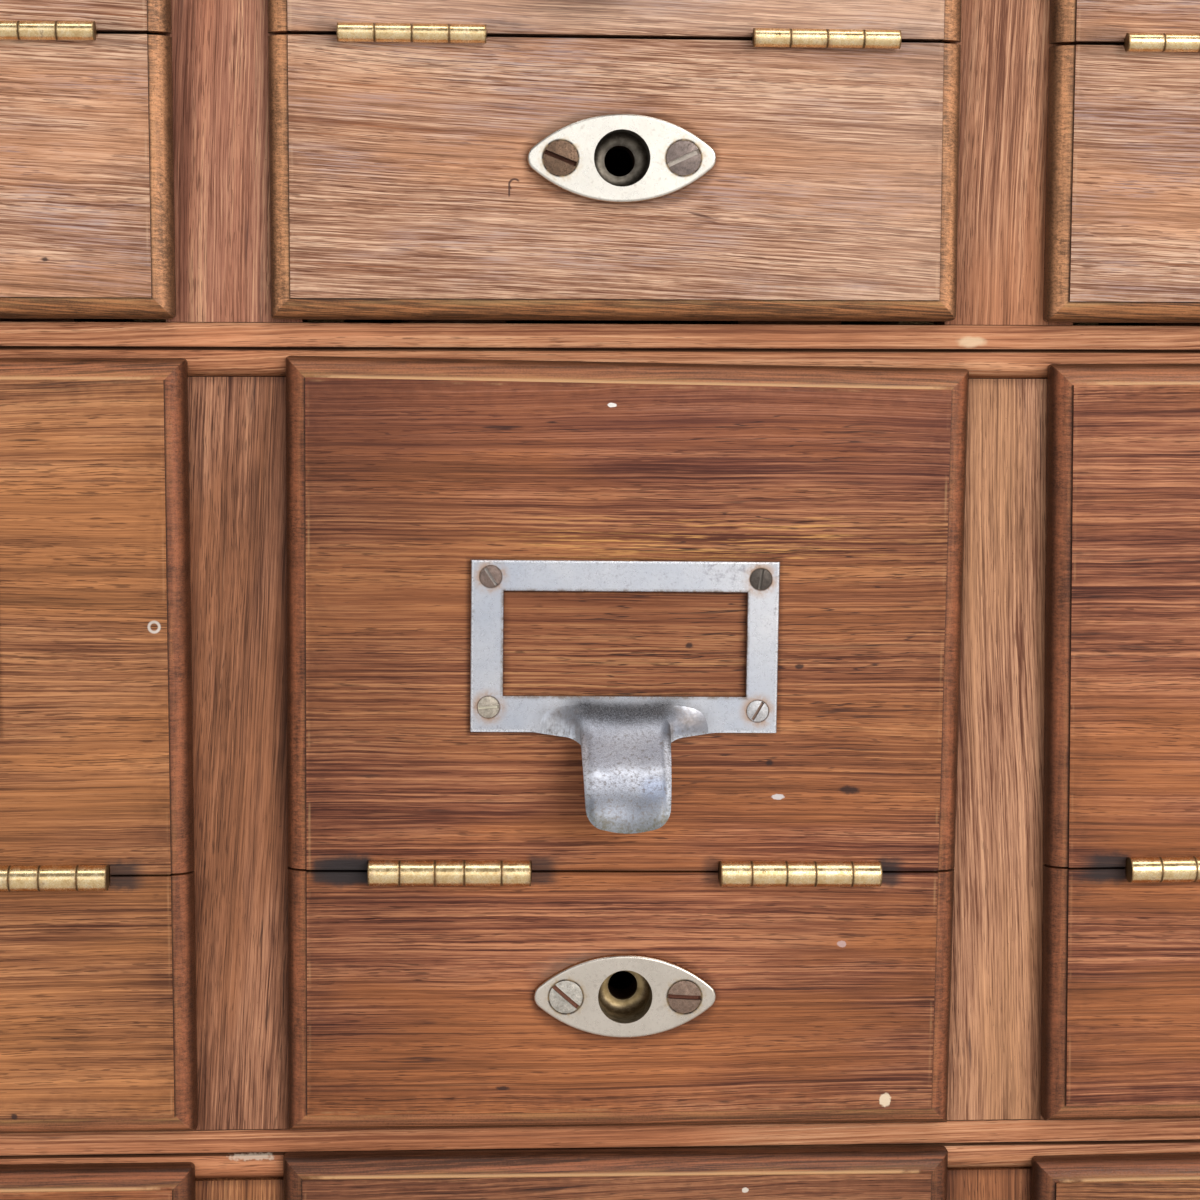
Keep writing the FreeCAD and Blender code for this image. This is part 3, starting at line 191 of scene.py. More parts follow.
# ---------------------------------------------------------------------------
# Oak.  The vector is in millimetres: X along the grain, Y across it, Z into the board.
# ---------------------------------------------------------------------------
def oak_group():
    g, t, i, o = group("Oak", [("Vector", "NodeSocketVector"), ("Slope", "NodeSocketFloat"), ("Wander", "NodeSocketFloat"),
                               ("Rings", "NodeSocketFloat")],
                       [("Broad", "NodeSocketFloat"), ("Ring", "NodeSocketFloat"), ("Line", "NodeSocketFloat"),
                        ("Dash", "NodeSocketFloat"), ("Pore", "NodeSocketFloat"), ("Streak", "NodeSocketFloat"),
                        ("Hue", "NodeSocketFloat"), ("Height", "NodeSocketFloat"), ("Hair", "NodeSocketFloat"),
                        ("Pale", "NodeSocketFloat")])
    u, v, w = t.xyz(i["Vector"])
    v0 = t.add(v, t.mul(u, i["Slope"]))
    n1 = t.noise(t.vec(t.mul(u, 0.0045), t.mul(v0, 0.015), t.mul(w, 0.015)), 1.0, 1.0, 0.4)
    n2 = t.noise(t.vec(t.mul(u, 0.035), t.mul(v0, 0.11), t.mul(w, 0.1)), 1.0, 2.0, 0.5)
    v2 = t.add(v0, t.add(t.mul(t.sub(n1, 0.5), i["Wander"]), t.mul(t.sub(n2, 0.5), 1.1)))
    broad = t.noise(t.vec(t.mul(u, 0.011), t.mul(v2, 0.055), t.mul(w, 0.05)), 1.0, 3.0, 0.55)
    hue = t.noise(t.vec(t.mul(u, 0.008), t.add(t.mul(v2, 0.045), 31.7), t.mul(w, 0.05)), 1.0, 3.0, 0.6)
    ring = t.noise(t.vec(t.mul(u, 0.0022), t.mul(v2, i["Rings"]), t.mul(w, 0.12)), 1.0, 2.0, 0.55)
    line = t.noise(t.vec(t.mul(u, 0.0050), t.mul(v2, 1.35), t.mul(w, 1.1)), 1.0, 5.0, 0.80)
    dash = t.noise(t.vec(t.mul(u, 0.060), t.mul(v2, 2.6), t.mul(w, 2.1)), 1.0, 3.0, 0.70)
    # long hair lines: the contours of a stretched noise
    hn = t.noise(t.vec(t.add(t.mul(u, 0.006), 17.0), t.mul(v2, 1.25), t.mul(w, 1.0)), 1.0, 2.0, 0.55)
    hgap = t.noise(t.vec(t.mul(u, 0.045), t.mul(v2, 0.9), t.mul(w, 0.8)), 1.0, 1.0, 0.5)
    hair = t.mul(t.step(absv(t, t.sub(hn, 0.5)), 0.002, 0.020, 1.0, 0.0), t.step(hgap, 0.44, 0.60))
    pale = t.mul(t.step(absv(t, t.sub(hn, 0.60)), 0.003, 0.022, 1.0, 0.0), t.step(hgap, 0.56, 0.42))
    # pores: short dark dashes, denser in some growth rings
    pn = t.noise(t.vec(t.add(t.mul(u, 0.17), 9.1), t.mul(v2, 4.2), t.mul(w, 3.4)), 1.0, 1.0, 0.5)
    dens = t.step(ring, 0.38, 0.62, 0.0, 0.14)
    lo = t.sub(0.70, dens)
    pore = t.step(pn, lo, t.add(lo, 0.07))
    # long dark streaks, gathered in patches
    sn = t.noise(t.vec(t.mul(u, 0.032), t.mul(v2, 0.62), t.mul(w, 0.7)), 1.0, 4.0, 0.66)
    patch = t.noise(t.vec(t.add(t.mul(u, 0.016), 4.4), t.mul(v2, 0.055), t.mul(w, 0.04)), 1.0, 2.0, 0.5)
    streak = t.mul(t.step(sn, 0.58, 0.70), t.step(patch, 0.47, 0.62))
    h = t.sub(t.add(t.mul(t.sub(dash, 0.5), 0.8), t.mul(t.sub(line, 0.5), 1.1)), t.mx(t.mul(pore, 0.6), t.mul(hair, 0.5)))
    for k, s in (("Broad", broad), ("Ring", ring), ("Line", line), ("Dash", dash), ("Pore", pore), ("Streak", streak),
                 ("Hue", hue), ("Height", h), ("Hair", hair), ("Pale", pale)):
        t.l.new(s, o[k])
    return g


OAK = oak_group()

# dark, middle, light, second hue, pore, streak
RED = dict(dark=(76, 36, 24), mid=(139, 81, 55), light=(193, 130, 91), hue=(164, 99, 53), pore=(52, 26, 20), streak=(46, 28, 26))
BROWN = dict(dark=(82, 44, 26), mid=(140, 88, 57), light=(190, 132, 88), hue=(168, 108, 62), pore=(54, 28, 18), streak=(52, 32, 24))
GREY = dict(dark=(118, 76, 56), mid=(176, 130, 102), light=(224, 184, 154), hue=(188, 132, 94), pore=(88, 48, 34), streak=(112, 86, 82))
TAN = dict(dark=(104, 60, 40), mid=(166, 113, 83), light=(208, 156, 120), hue=(172, 108, 70), pore=(74, 40, 27), streak=(84, 54, 46))
DARKB = dict(dark=(76, 42, 27), mid=(126, 76, 51), light=(166, 112, 78), hue=(142, 88, 54), pore=(46, 25, 17), streak=(42, 26, 21))


def new_material(name):
    m = bpy.data.materials.new(name)
    m.use_nodes = True
    t = Tree(m.node_tree)
    for n in list(t.n):
        t.n.remove(n)
    out = t.new("ShaderNodeOutputMaterial")
    bs = t.new("ShaderNodeBsdfPrincipled")
    t.l.new(bs.outputs[0], out.inputs[0])
    tc = t.new("ShaderNodeTexCoord")
    mm = t.vmath("MULTIPLY", tc.outputs["Object"], (1000.0, 1000.0, 1000.0))
    x, y, z = t.xyz(mm)
    nx, ny, nz = t.xyz(tc.outputs["Normal"])
    return m, dict(t=t, bs=bs, mm=mm, x=x, y=y, z=z, nx=nx, ny=ny, nz=nz)


def finish(c, bump=0.25, dist=0.0004):
    t, bs = c["t"], c["bs"]
    bp = t.new("ShaderNodeBump")
    bp.inputs["Strength"].default_value = bump
    bp.inputs["Distance"].default_value = dist
    t.l.new(c["height"], bp.inputs["Height"])
    t.l.new(bp.outputs[0], bs.inputs["Normal"])
    t.l.new(c["col"], bs.inputs["Base Color"])
    t.l.new(c["rough"], bs.inputs["Roughness"])


def tint(c, f, col, blend="MIX"):
    c["col"] = c["t"].mix(f, c["col"], srgb(*col) if len(col) == 3 else col, blend)


def darken(c, f, k=(0.45, 0.40, 0.36)):
    c["col"] = c["t"].mix(f, c["col"], (*k, 1.0), "MULTIPLY")


def oak(name, axis="X", face="XZ", seed=0.0, pal=BROWN, slope=0.0, wander=10.0, rings=0.20, mixk=(0.42, 0.50, 1.75, 0.80), hair=0.60,
        pore=0.62, streak=0.6, hue=0.6, rough=(0.40, 0.60), bump=0.30, level=0.22, extra=None):
    m, c = new_material(name)
    t = c["t"]
    sel = {"X": c["x"], "Y": c["y"], "Z": c["z"]}
    a = [k for k in face if k != axis][0]
    b = [k for k in "XYZ" if k not in (a, axis)][0]
    pv = t.vec(t.add(sel[axis], seed * 137.1), t.add(sel[a], seed * 71.3), t.add(sel[b], seed * 29.7))
    gr = t.new("ShaderNodeGroup")
    gr.node_tree = OAK
    t.l.new(pv, gr.inputs["Vector"])
    gr.inputs["Slope"].default_value = slope
    gr.inputs["Wander"].default_value = wander
    gr.inputs["Rings"].default_value = rings
    o = gr.outputs
    lively = t.step(o["Hue"], 0.36, 0.62, 1.25, 0.70)
    tone = t.add(t.add(t.mul(t.sub(o["Broad"], 0.5), mixk[0]), t.mul(t.sub(o["Ring"], 0.5), mixk[1])),
                 t.mul(lively, t.add(t.mul(t.sub(o["Line"], 0.5), mixk[2]), t.mul(t.sub(o["Dash"], 0.5), mixk[3]))))
    tn = t.step(tone, -0.25, 0.25, smooth=False)
    col = t.ramp(tn, [(0.0, srgb(*pal["dark"])), (0.5, srgb(*pal["mid"])), (1.0, srgb(*pal["light"]))])
    hm = t.mul(t.step(o["Hue"], 0.42, 0.62), hue)
    col = t.mix(hm, col, t.ramp(tn, [(0.0, srgb(*[v * 0.68 for v in pal["hue"]])), (0.5, srgb(*pal["hue"])),
                                     (1.0, srgb(*[min(255, v * 1.17) for v in pal["hue"]]))]))
    col = t.mix(t.mul(o["Streak"], streak), col, srgb(*pal["streak"]))
    col = t.mix(t.mul(o["Pale"], 0.38), col, srgb(*[min(255, v * 1.08) for v in pal["light"]]))
    col = t.mix(t.mul(o["Hair"], hair), col, srgb(*[v * 0.80 for v in pal["dark"]]))
    col = t.mix(t.mul(o["Pore"], pore), col, srgb(*pal["pore"]))
    c["col"] = col
    c["rough"] = t.add(t.step(tone, -0.2, 0.2, rough[1], rough[0], smooth=False), t.mul(o["Pore"], 0.2))
    c["height"] = o["Height"]
    c["o"] = o
    c["tone"] = tn
    if extra:
        extra(c)
    finish(c, bump)
    c["bs"].inputs["Specular IOR Level"].default_value = level
    return m


def lin(c, ax, az, k):
    """ax x + az z + k, in millimetres."""
    t = c["t"]
    d = t.new("ShaderNodeVectorMath")
    d.operation = "DOT_PRODUCT"
    t.l.new(c["mm"], d.inputs[0])
    d.inputs[1].default_value = (ax, 0.0, az)
    return t.add(d.outputs["Value"], k)


def bell(t, v, mid, half):
    """1 at mid, 0 at mid +- half."""
    return t.step(absv(t, t.sub(v, mid)), 0.0, half, 1.0, 0.0)


def blob(c, cx, cz, rx, rz, soft=0.5, rag=0.35, scale=0.6):
    """1 inside a ragged oval."""
    t = c["t"]
    dx = t.math("DIVIDE", t.sub(c["x"], cx), rx)
    dz = t.math("DIVIDE", t.sub(c["z"], cz), rz)
    d = t.math("SQRT", t.add(t.mul(dx, dx), t.mul(dz, dz)))
    if rag:
        n = t.noise(c["mm"], scale, 2.0, 0.6)
        d = t.add(d, t.mul(t.sub(n, 0.5), rag * 2))
    return t.step(d, 1.0 - soft, 1.0, 1.0, 0.0)


def spread(c, scale, detail=3.0, rough=0.6, lo=0.4, hi=0.6, off=0.0):
    t = c["t"]
    v = c["mm"] if not off else t.vmath("ADD", c["mm"], (off, off * 0.7, off * 1.3))
    return t.step(t.noise(v, scale, detail, rough), lo, hi)


def front_coords(c, key):
    """Distances from the outline of a front, and height above its split line."""
    t = c["t"]
    xlt, xlb, xrt, xrb, ztl, ztr, zbl, zbr, sl, sr = FRONTS[key]
    xc, zr = COL_X[key[1]] + XS, ROW_Z[key[0]]
    xlt, xlb, xrt, xrb = xlt + xc, xlb + xc, xrt + xc, xrb + xc
    ztl, ztr, zbl, zbr = ztl + zr, ztr + zr, zbl + zr, zbr + zr
    a = (xlt - xlb) / (ztl - zbl)
    c["dl"] = lin(c, 1.0, -a, a * zbl - xlb)
    a = (xrt - xrb) / (ztr - zbr)
    c["dr"] = lin(c, -1.0, a, xrb - a * zbr)
    a = (ztr - ztl) / (xrt - xlt)
    c["dt"] = lin(c, a, -1.0, ztl - a * xlt)
    a = (zbr - zbl) / (xrb - xlb)
    c["db"] = lin(c, -a, 1.0, a * xlb - zbl)
    a = (sr - sl) / 168.0
    c["ds"] = lin(c, -a, 1.0, -(zr + (sl + sr) / 2) + a * xc)
    c["dh"] = t.mn(c["dl"], c["dr"])
    c["dv"] = t.mn(c["dt"], c["db"])
    c["dm"] = t.mn(c["dh"], c["dv"])


def front_extra(key, part, style):
    rnd = random.Random(key[0] * 101 + key[1] * 13 + (5 if part == "low" else 0))
    xc, zr = COL_X[key[1]] + XS, ROW_Z[key[0]]

    def f(c):
        t = c["t"]
        front_coords(c, key)
        x, z, dm = c["x"], c["z"], c["dm"]
        board = t.mix(t.mul(spread(c, 0.035, 4.0, 0.65, 0.48, 0.66), 0.35), c["col"], srgb(70, 46, 32))
        fine = t.noise(c["mm"], 2.6, 2.0, 0.6)
        mid = t.noise(c["mm"], 0.35, 3.0, 0.6)
        if style.get("custom"):
            style["custom"](c)
        # grime with painted shade along the edges of the field, and stains beside the hinges
        rim = t.mul(t.step(dm, 6.0, 17.0, 1.0, 0.0), t.step(mid, 0.35, 0.65, 0.25, 1.0))
        darken(c, t.mul(rim, style.get("rim", 0.35)))
        kind, h0, h1 = HINGES[key]
        half = 20.3 if kind == "long" else 18.0
        st = None
        for hx, amt in ((h0 - half, 1.0), (h0 + half, 0.8), (h1 - half, 0.5), (h1 + half, 0.9)):
            sgn = -1 if hx in (h0 - half, h1 - half) else 1
            along = t.mul(t.sub(x, xc + hx), float(sgn))
            reach = 15.0 * rnd.uniform(0.5, 1.1) if key != (2, 2) else {h0 - half: 15.5, h0 + half: 8.0, h1 - half: 5.0, h1 + half: 7.0}[hx]
            m = t.mul(t.step(along, -2.0, 0.5), t.step(along, reach * 0.45, reach, 1.0, 0.0))
            m = t.mul(m, amt)
            st = m if st is None else t.mx(st, m)
        up = 5.0 if part == "drop" else 4.6
        st = t.mul(st, t.step(t.add(absv(t, c["ds"]), t.mul(t.sub(mid, 0.5), 3.0)), up * 0.45, up, 1.0, 0.0))
        tint(c, t.mul(st, style.get("stain", 0.75)), (46, 38, 38))
        # painted shade: a dark line along the gap where the two halves meet, running through the hinge mortises too
        darken(c, t.mul(t.step(absv(t, c["ds"]), 0.3, 1.1, 1.0, 0.0), 0.55))
        # painted shadows and marks under and around the fittings
        if part == "low":
            px, pz = PLATES[key][0] + xc, PLATES[key][1] + zr
            # painted contact shadow round the escutcheon plate, with dirt
            plate_shadow = blob(c, px - 0.2, pz - 0.4, 25.2, 12.7, 0.13, 0.05, 0.3)
            darken(c, t.mul(plate_shadow, 0.78))
            dull = blob(c, px - 8, pz + 6, 17, 7.0, 0.5, 0.25, 0.25)
            tint(c, t.mul(dull, 0.22), (176, 150, 130))
        else:
            hx, hz = HOLDERS[key][0] + xc, HOLDERS[key][1] + zr
            q = t.mx(t.sub(absv(t, t.sub(x, hx)), 38.0), t.sub(absv(t, t.sub(z, hz)), 21.4))
            darken(c, t.mul(t.step(t.add(q, t.mul(t.sub(fine, 0.5), 1.2)), 0.2, 1.3, 1.0, 0.0), 0.55))
            # painted shadow of the pull on the wood below the holder
            darken(c, t.mul(blob(c, hx - 2, hz - 36, 21, 15, 0.7, 0.2, 0.1), 0.35))
            # inside the window: painted shade from the frame's thickness, with dirt, along the window's edges
            wq = t.mn(t.sub(29.8, absv(t, t.sub(x, hx))), t.sub(13.0, absv(t, t.sub(t.sub(z, hz), 0.65))))
            wm = t.mul(t.step(wq, 0.0, 2.2, 1.0, 0.0), t.step(wq, -0.5, 0.0))
            darken(c, t.mul(t.mul(wm, t.step(mid, 0.3, 0.6)), 0.6))
        # worn arris of the field
        arris = t.mul(bell(t, dm, 5.8, 0.5), t.step(t.noise(t.vec(t.mul(x, 0.05), t.mul(z, 0.05), 3.0), 1.0, 5.0, 0.75), 0.46, 0.66))
        tint(c, t.mul(arris, style.get("arris", 0.28)), style.get("worn", (206, 150, 104)))
        # moulded edge: its own colour with a painted highlight along the crest, painted shade at the outer edge and in
        # the quirk, and a painted highlight on the top fillet
        mo = t.mul(t.step(c["y"], -202.05, -201.7), t.step(dm, 5.9, 5.3, 0.0, 1.0))
        vert = t.step(t.sub(c["dv"], c["dh"]), 0.0, 0.4)
        nh = t.noise(t.vec(t.mul(x, 0.035), t.mul(z, 0.5), 7.0), 1.0, 4.0, 0.65)
        nv = t.noise(t.vec(t.mul(x, 0.5), t.mul(z, 0.035), 9.0), 1.0, 4.0, 0.65)
        na = t.add(nh, t.mul(vert, t.sub(nv, nh)))
        base = t.ramp(t.step(t.add(t.mul(c["tone"], 0.55), t.mul(fine, 0.45)), 0.3, 0.7, smooth=False),
                      [(0.0, srgb(*[v * 0.66 for v in style["mould"]])), (0.5, srgb(*style["mould"])),
                       (1.0, srgb(*[min(255, v * 1.28) for v in style["mould"]]))])
        mv = t.ramp(t.step(t.add(t.mul(c["tone"], 0.22), t.add(t.mul(t.add(nv, 0.04), 0.48), t.mul(fine, 0.30))), 0.36, 0.64, smooth=False),
                    [(0.0, srgb(*[v * 0.72 for v in style["mould_v"]])), (0.5, srgb(*[v * 1.05 for v in style["mould_v"]])),
                     (1.0, srgb(*[min(255, v * 1.30) for v in style["mould_v"]]))])
        base = t.mix(vert, base, mv)
        # painted highlight along the crest of the ovolo
        crest_highlight = t.mul(t.step(dm, 2.6, 4.6), t.step(na, 0.42, 0.62))
        base = t.mix(t.mul(crest_highlight, t.step(vert, 0, 1, style.get("crest_highlight", 0.35), 0.12, False)), base, srgb(*style["gold"]))
        pits = t.step(fine, 0.58, 0.70)
        specks = t.step(t.noise(c["mm"], 4.5, 2.0, 0.6), 0.38, 0.28)
        base = t.mix(t.mul(pits, t.step(vert, 0, 1, 0.45, 0.72, False)), base, srgb(*[v * 0.45 for v in style["mould"]]))
        base = t.mix(t.mul(t.mul(specks, t.step(mid, 0.45, 0.62)), 0.28), base, srgb(*style["gold"]))
        # painted shade: the outer edge of the ovolo, where it turns away, and the quirk beside the field are painted
        # dark
        outer = t.step(t.sub(dm, t.mul(vert, t.mul(mid, 0.5))), 0.2, 2.2, 1.0, 0.0)
        dark = t.mx(t.mul(outer, t.step(vert, 0, 1, 0.72, 0.78, False)), t.mul(bell(t, dm, 5.35, 0.95), 1.0))
        istop = t.step(t.sub(c["dm"], c["dt"]), -0.3, 0.0)
        dark = t.mul(dark, t.sub(1.0, t.mul(istop, t.step(dm, 3.4, 4.4))))
        base = t.mix(dark, base, srgb(36, 19, 12))
        # painted highlight on the fillet along the top edge, which faces the light
        ends = t.step(t.add(c["dh"], t.mul(t.sub(mid, 0.5), 20.0)), 5.0, 14.0)
        lit = t.mul(t.mul(istop, ends), bell(t, dm, 4.9, 0.85))
        base = t.mix(t.mul(lit, 0.85), base, srgb(*style.get("fillet", (210, 166, 120))))
        c["col"] = t.mix(mo, c["col"], base)
        c["rough"] = t.mix(mo, c["rough"], t.add(style.get("mr", 0.34), t.mul(pits, 0.2)))
        c["height"] = t.sub(t.mul(c["height"], t.step(mo, 0, 1, 1.0, 0.55, False)), t.mul(mo, t.mul(pits, 0.5)))
        # the end grain of sides and the backs keep a plain dirty brown
        side = t.step(c["y"], -196.9, -195.9)
        face = t.sub(1.0, side)
        c["col"] = t.mix(side, c["col"], board)
        tint(c, t.mul(side, t.step(absv(t, c["ny"]), 0.9, 0.6, 0.38, 0.6)), (84, 54, 37))
        # painted shade on the edges that lie in the gap behind the lip
        lip_gap_shade = t.mul(side, t.step(c["y"], -170.0, -182.0))
        darken(c, t.mul(lip_gap_shade, t.step(absv(t, c["ny"]), 0.9, 0.6)), (0.22, 0.18, 0.16))
        # flecks of old paint
        for (fx, fz, r1, r2, hue) in style.get("flecks", {}).get(part, []):
            tint(c, t.mul(t.mul(blob(c, fx, fz, r1, r2, 0.25, 0.35, 0.9), 0.92), face), hue)
        for (fx, fz, r1, r2) in style.get("knots", {}).get(part, []):
            tint(c, t.mul(t.mul(blob(c, fx, fz, r1, r2, 0.6, 0.4, 0.8), 0.85), face), (44, 28, 26))
    return f


def local(c, cx, cz, tilt):
    """Coordinates about a tilted fitting."""
    a = math.radians(tilt)
    ca, sa = math.cos(a), math.sin(a)
    return lin(c, ca, sa, -(ca * cx + sa * cz)), lin(c, -sa, ca, sa * cx - ca * cz)


def dist2(t, a, b, ca, cb):
    da, db = t.sub(a, ca), t.sub(b, cb)
    return t.math("SQRT", t.add(t.mul(da, da), t.mul(db, db)))


def nickel(key):
    m, c = new_material("holder_nickel_r%dc%d" % key)
    t = c["t"]
    xc, zr = COL_X[key[1]] + XS, ROW_Z[key[0]]
    cx, cz, tilt = HOLDERS[key][0] + xc, HOLDERS[key][1] + zr, HOLDERS[key][2]
    hx, hz = local(c, cx, cz, tilt)
    off = key[0] * 37.0 + key[1] * 91.0
    p = t.vmath("ADD", c["mm"], (off, 0.0, off * 0.3))
    big = t.noise(p, 0.055, 3.0, 0.6)
    mot = t.noise(p, 0.33, 6.0, 0.72)
    fin = t.noise(p, 2.4, 3.0, 0.7)
    scr = t.noise(t.vec(t.mul(c["x"], 0.25), t.mul(c["y"], 2.0), t.mul(c["z"], 3.2)), 1.0, 2.0, 0.6)
    col = t.ramp(big, [(0.3, srgb(190, 193, 202)), (0.7, srgb(211, 210, 213))])
    # painted shade: the plate darkens towards its left end, away from the light
    col = t.mix(t.step(hx, -38.0, 38.0, 1.0, 0.0, False), col, (0.86, 0.87, 0.89, 1.0), "MULTIPLY")
    ahx = absv(t, hx)
    tongue = t.mx(t.step(hz, -21.4, -22.6), t.mul(t.step(hz, -13.2, -17.5), t.step(ahx, 17.0, 10.5)))
    # tarnish: mottled grey violet, more on the top bar and on the lower band
    band = t.mx(t.step(hz, 12.0, 16.0), t.step(hz, -11.0, -15.0))
    thr = t.sub(0.58, t.mul(band, 0.06))
    soft = t.noise(p, 1.1, 5.0, 0.75)
    tar = t.step(t.add(t.add(t.mul(mot, 0.55), t.mul(soft, 0.45)), t.mul(t.sub(big, 0.5), 0.3)), thr, t.add(thr, 0.13))
    tar = t.mul(tar, t.step(tongue, 0, 1, 0.55, 0.16, False))
    col = t.mix(tar, col, srgb(116, 110, 122))
    pit = t.step(fin, 0.60, 0.70)
    col = t.mix(t.mul(pit, t.step(tongue, 0, 1, 0.32, 0.24, False)), col, srgb(96, 90, 90))
    grain = t.noise(p, 3.4, 4.0, 0.75)
    col = t.mix(t.mul(tongue, t.step(grain, 0.38, 0.60, 0.22, 0.62)), col, srgb(122, 118, 120))
    web = t.mul(t.mul(t.step(hz, -14.0, -17.0), t.step(ahx, 24.0, 15.0)), t.step(ahx, 10.4, 12.4))
    col = t.mix(t.mul(web, t.step(t.add(t.mul(soft, 0.6), t.mul(mot, 0.4)), 0.40, 0.60, 0.40, 0.80)), col, srgb(122, 119, 122))
    # painted shade on the right-facing shoulder, painted highlights streaked like scratches on the left-facing one,
    # and a painted dark reflection in the hollow under the window
    hv = t.add(t.add(hz, 16.4), t.mul(t.mul(hx, hx), -0.010))
    hv = t.add(hv, t.mul(t.sub(mot, 0.5), 1.4))
    shoulder = t.mul(t.step(hz, -13.4, -15.6), t.mul(t.step(ahx, 27.0, 21.0), t.step(ahx, 6.5, 9.0)))
    right_shoulder_shade = t.mul(shoulder, t.step(c["nx"], 0.0, 0.28))
    left_shoulder_highlight = t.mul(shoulder, t.step(c["nx"], -0.12, -0.45))
    # painted shade on the right-facing shoulder, against the light's reflection
    col = t.mix(t.mul(right_shoulder_shade, 0.78), col, srgb(104, 105, 112))
    wipe = t.noise(t.vec(t.mul(hx, 1.9), t.mul(hz, 0.30), off), 1.0, 3.0, 0.65)
    # painted highlights, streaked like scratches, on the left-facing shoulder
    col = t.mix(t.mul(left_shoulder_highlight, t.step(wipe, 0.38, 0.60, 0.25, 0.95)), col, srgb(226, 227, 232))
    # painted dark reflection in the hollow under the window
    valley_dark_reflection = t.mul(t.mul(t.step(absv(t, hv), 4.8, 0.8), t.step(ahx, 18.0, 8.5)), t.step(grain, 0.35, 0.60, 0.75, 1.0))
    col = t.mix(t.mul(valley_dark_reflection, 0.94), col, srgb(56, 53, 54))
    strap = t.step(hz, -17.0, -20.0)
    # painted highlight band across the strap
    band = t.mul(t.mul(bell(t, t.add(hz, t.mul(t.sub(mot, 0.5), 1.6)), -28.8, 2.2), strap), t.step(t.noise(p, 0.22, 2.0, 0.5), 0.35, 0.62, 0.2, 1.0))
    col = t.mix(t.mul(band, 0.60), col, srgb(240, 241, 246))
    # painted bluish reflection near the foot of the strap
    bl = t.mul(t.step(dist2(t, hx, t.mul(hz, 1.3), 6.5, -42.0), 5.0, 1.5), 0.30)
    col = t.mix(bl, col, srgb(150, 166, 198))
    # painted highlights along the rolled edges of the strap
    rolled = t.mul(t.step(ahx, 8.7, 9.9), t.step(hz, -20.5, -24.0))
    col = t.mix(t.mul(rolled, t.step(fin, 0.64, 0.40, 0.35, 0.85)), col, srgb(244, 244, 247))
    # the lower strap painted darker, as a dimmer reflection
    col = t.mix(t.mul(t.step(hz, -31.5, -37.0), 0.62), col, srgb(112, 113, 118))
    col = t.mix(t.mul(tongue, 0.6), col, (0.88, 0.94, 1.02, 1.0), "MULTIPLY")
    tipd = t.step(t.add(hz, t.mul(ahx, -0.42)), -38.0, -43.5)
    col = t.mix(t.mul(tipd, t.step(soft, 0.36, 0.60, 0.25, 0.85)), col, srgb(100, 98, 84))
    # rust and dirt about the screws
    d = None
    for sx, sz in HOLDER_SCREWS:
        e = dist2(t, hx, hz, sx, sz)
        d = e if d is None else t.mn(d, e)
    rust = t.mul(t.step(d, 2.6, 5.4, 1.0, 0.0), t.step(mot, 0.36, 0.58, 0.15, 0.75))
    col = t.mix(rust, col, srgb(168, 132, 100))
    col = t.mix(t.step(d, 2.66, 3.1, 0.8, 0.0), col, srgb(88, 62, 42))
    # dirt along the window and on every side face
    wq = t.mx(t.sub(absv(t, hx), 29.9), t.sub(absv(t, t.sub(hz, 0.65)), 13.0))
    wd = t.mul(t.step(wq, 1.0, 0.1, 0.0, 1.0), t.step(t.add(t.mul(mot, 0.5), t.mul(soft, 0.5)), 0.42, 0.58, 0.15, 1.0))
    col = t.mix(t.mul(wd, 0.7), col, srgb(112, 88, 62))
    ends = t.mul(t.step(t.mx(t.sub(ahx, 37.85), t.sub(absv(t, hz), 21.2)), -1.6, -0.2), t.step(soft, 0.50, 0.64))
    col = t.mix(t.mul(ends, 0.55), col, srgb(108, 96, 84))
    flare = t.mul(t.step(absv(t, t.add(hz, 17.0)), 4.5, 1.0, 0.0, 1.0), t.step(absv(t, hx), 24.0, 12.0, 0.0, 1.0))
    flare = t.mul(flare, t.sub(1.0, t.mx(valley_dark_reflection, tongue)))
    col = t.mix(t.mul(flare, t.step(mot, 0.38, 0.6, 0.1, 0.6)), col, srgb(128, 112, 98))
    side = t.mul(t.step(absv(t, c["ny"]), 0.55, 0.25), t.step(c["y"], -203.9, -203.4))
    col = t.mix(t.mul(side, 0.75), col, srgb(112, 90, 68))
    rq = t.mx(t.sub(absv(t, hx), 37.85), t.sub(absv(t, hz), 21.2))
    # painted highlight along the outer rim, broken by wear
    edge = t.mul(t.mul(bell(t, rq, -0.35, 0.5), t.step(fin, 0.62, 0.45)), t.mx(t.step(ahx, 22.0, 25.0), t.step(hz, -20.0, -19.0)))
    col = t.mix(t.mul(edge, 0.55), col, srgb(240, 240, 242))
    # painted shade in the creases along the sides of the strap
    crease = t.mul(t.step(absv(t, t.sub(ahx, 11.4)), 1.3, 0.2), t.mul(t.step(hz, -17.0, -20.0), t.step(hz, -25.5, -24.0)))
    col = t.mix(t.mul(crease, 0.6), col, srgb(84, 74, 66))
    c["col"] = col
    r = t.add(t.step(soft, 0.35, 0.65, 0.24, 0.38, False), t.mul(t.mx(tongue, web), 0.10))
    c["rough"] = t.add(r, t.mx(t.mul(right_shoulder_shade, 0.14), t.mx(t.mul(rust, 0.3), t.mul(pit, 0.15))))
    c["height"] = t.sub(t.add(t.mul(soft, 0.7), t.mul(scr, 0.10)), t.mul(pit, t.step(tongue, 0, 1, 0.25, 0.35, False)))
    finish(c, 0.12, 0.0003)
    c["bs"].inputs["Metallic"].default_value = 1.0
    return m


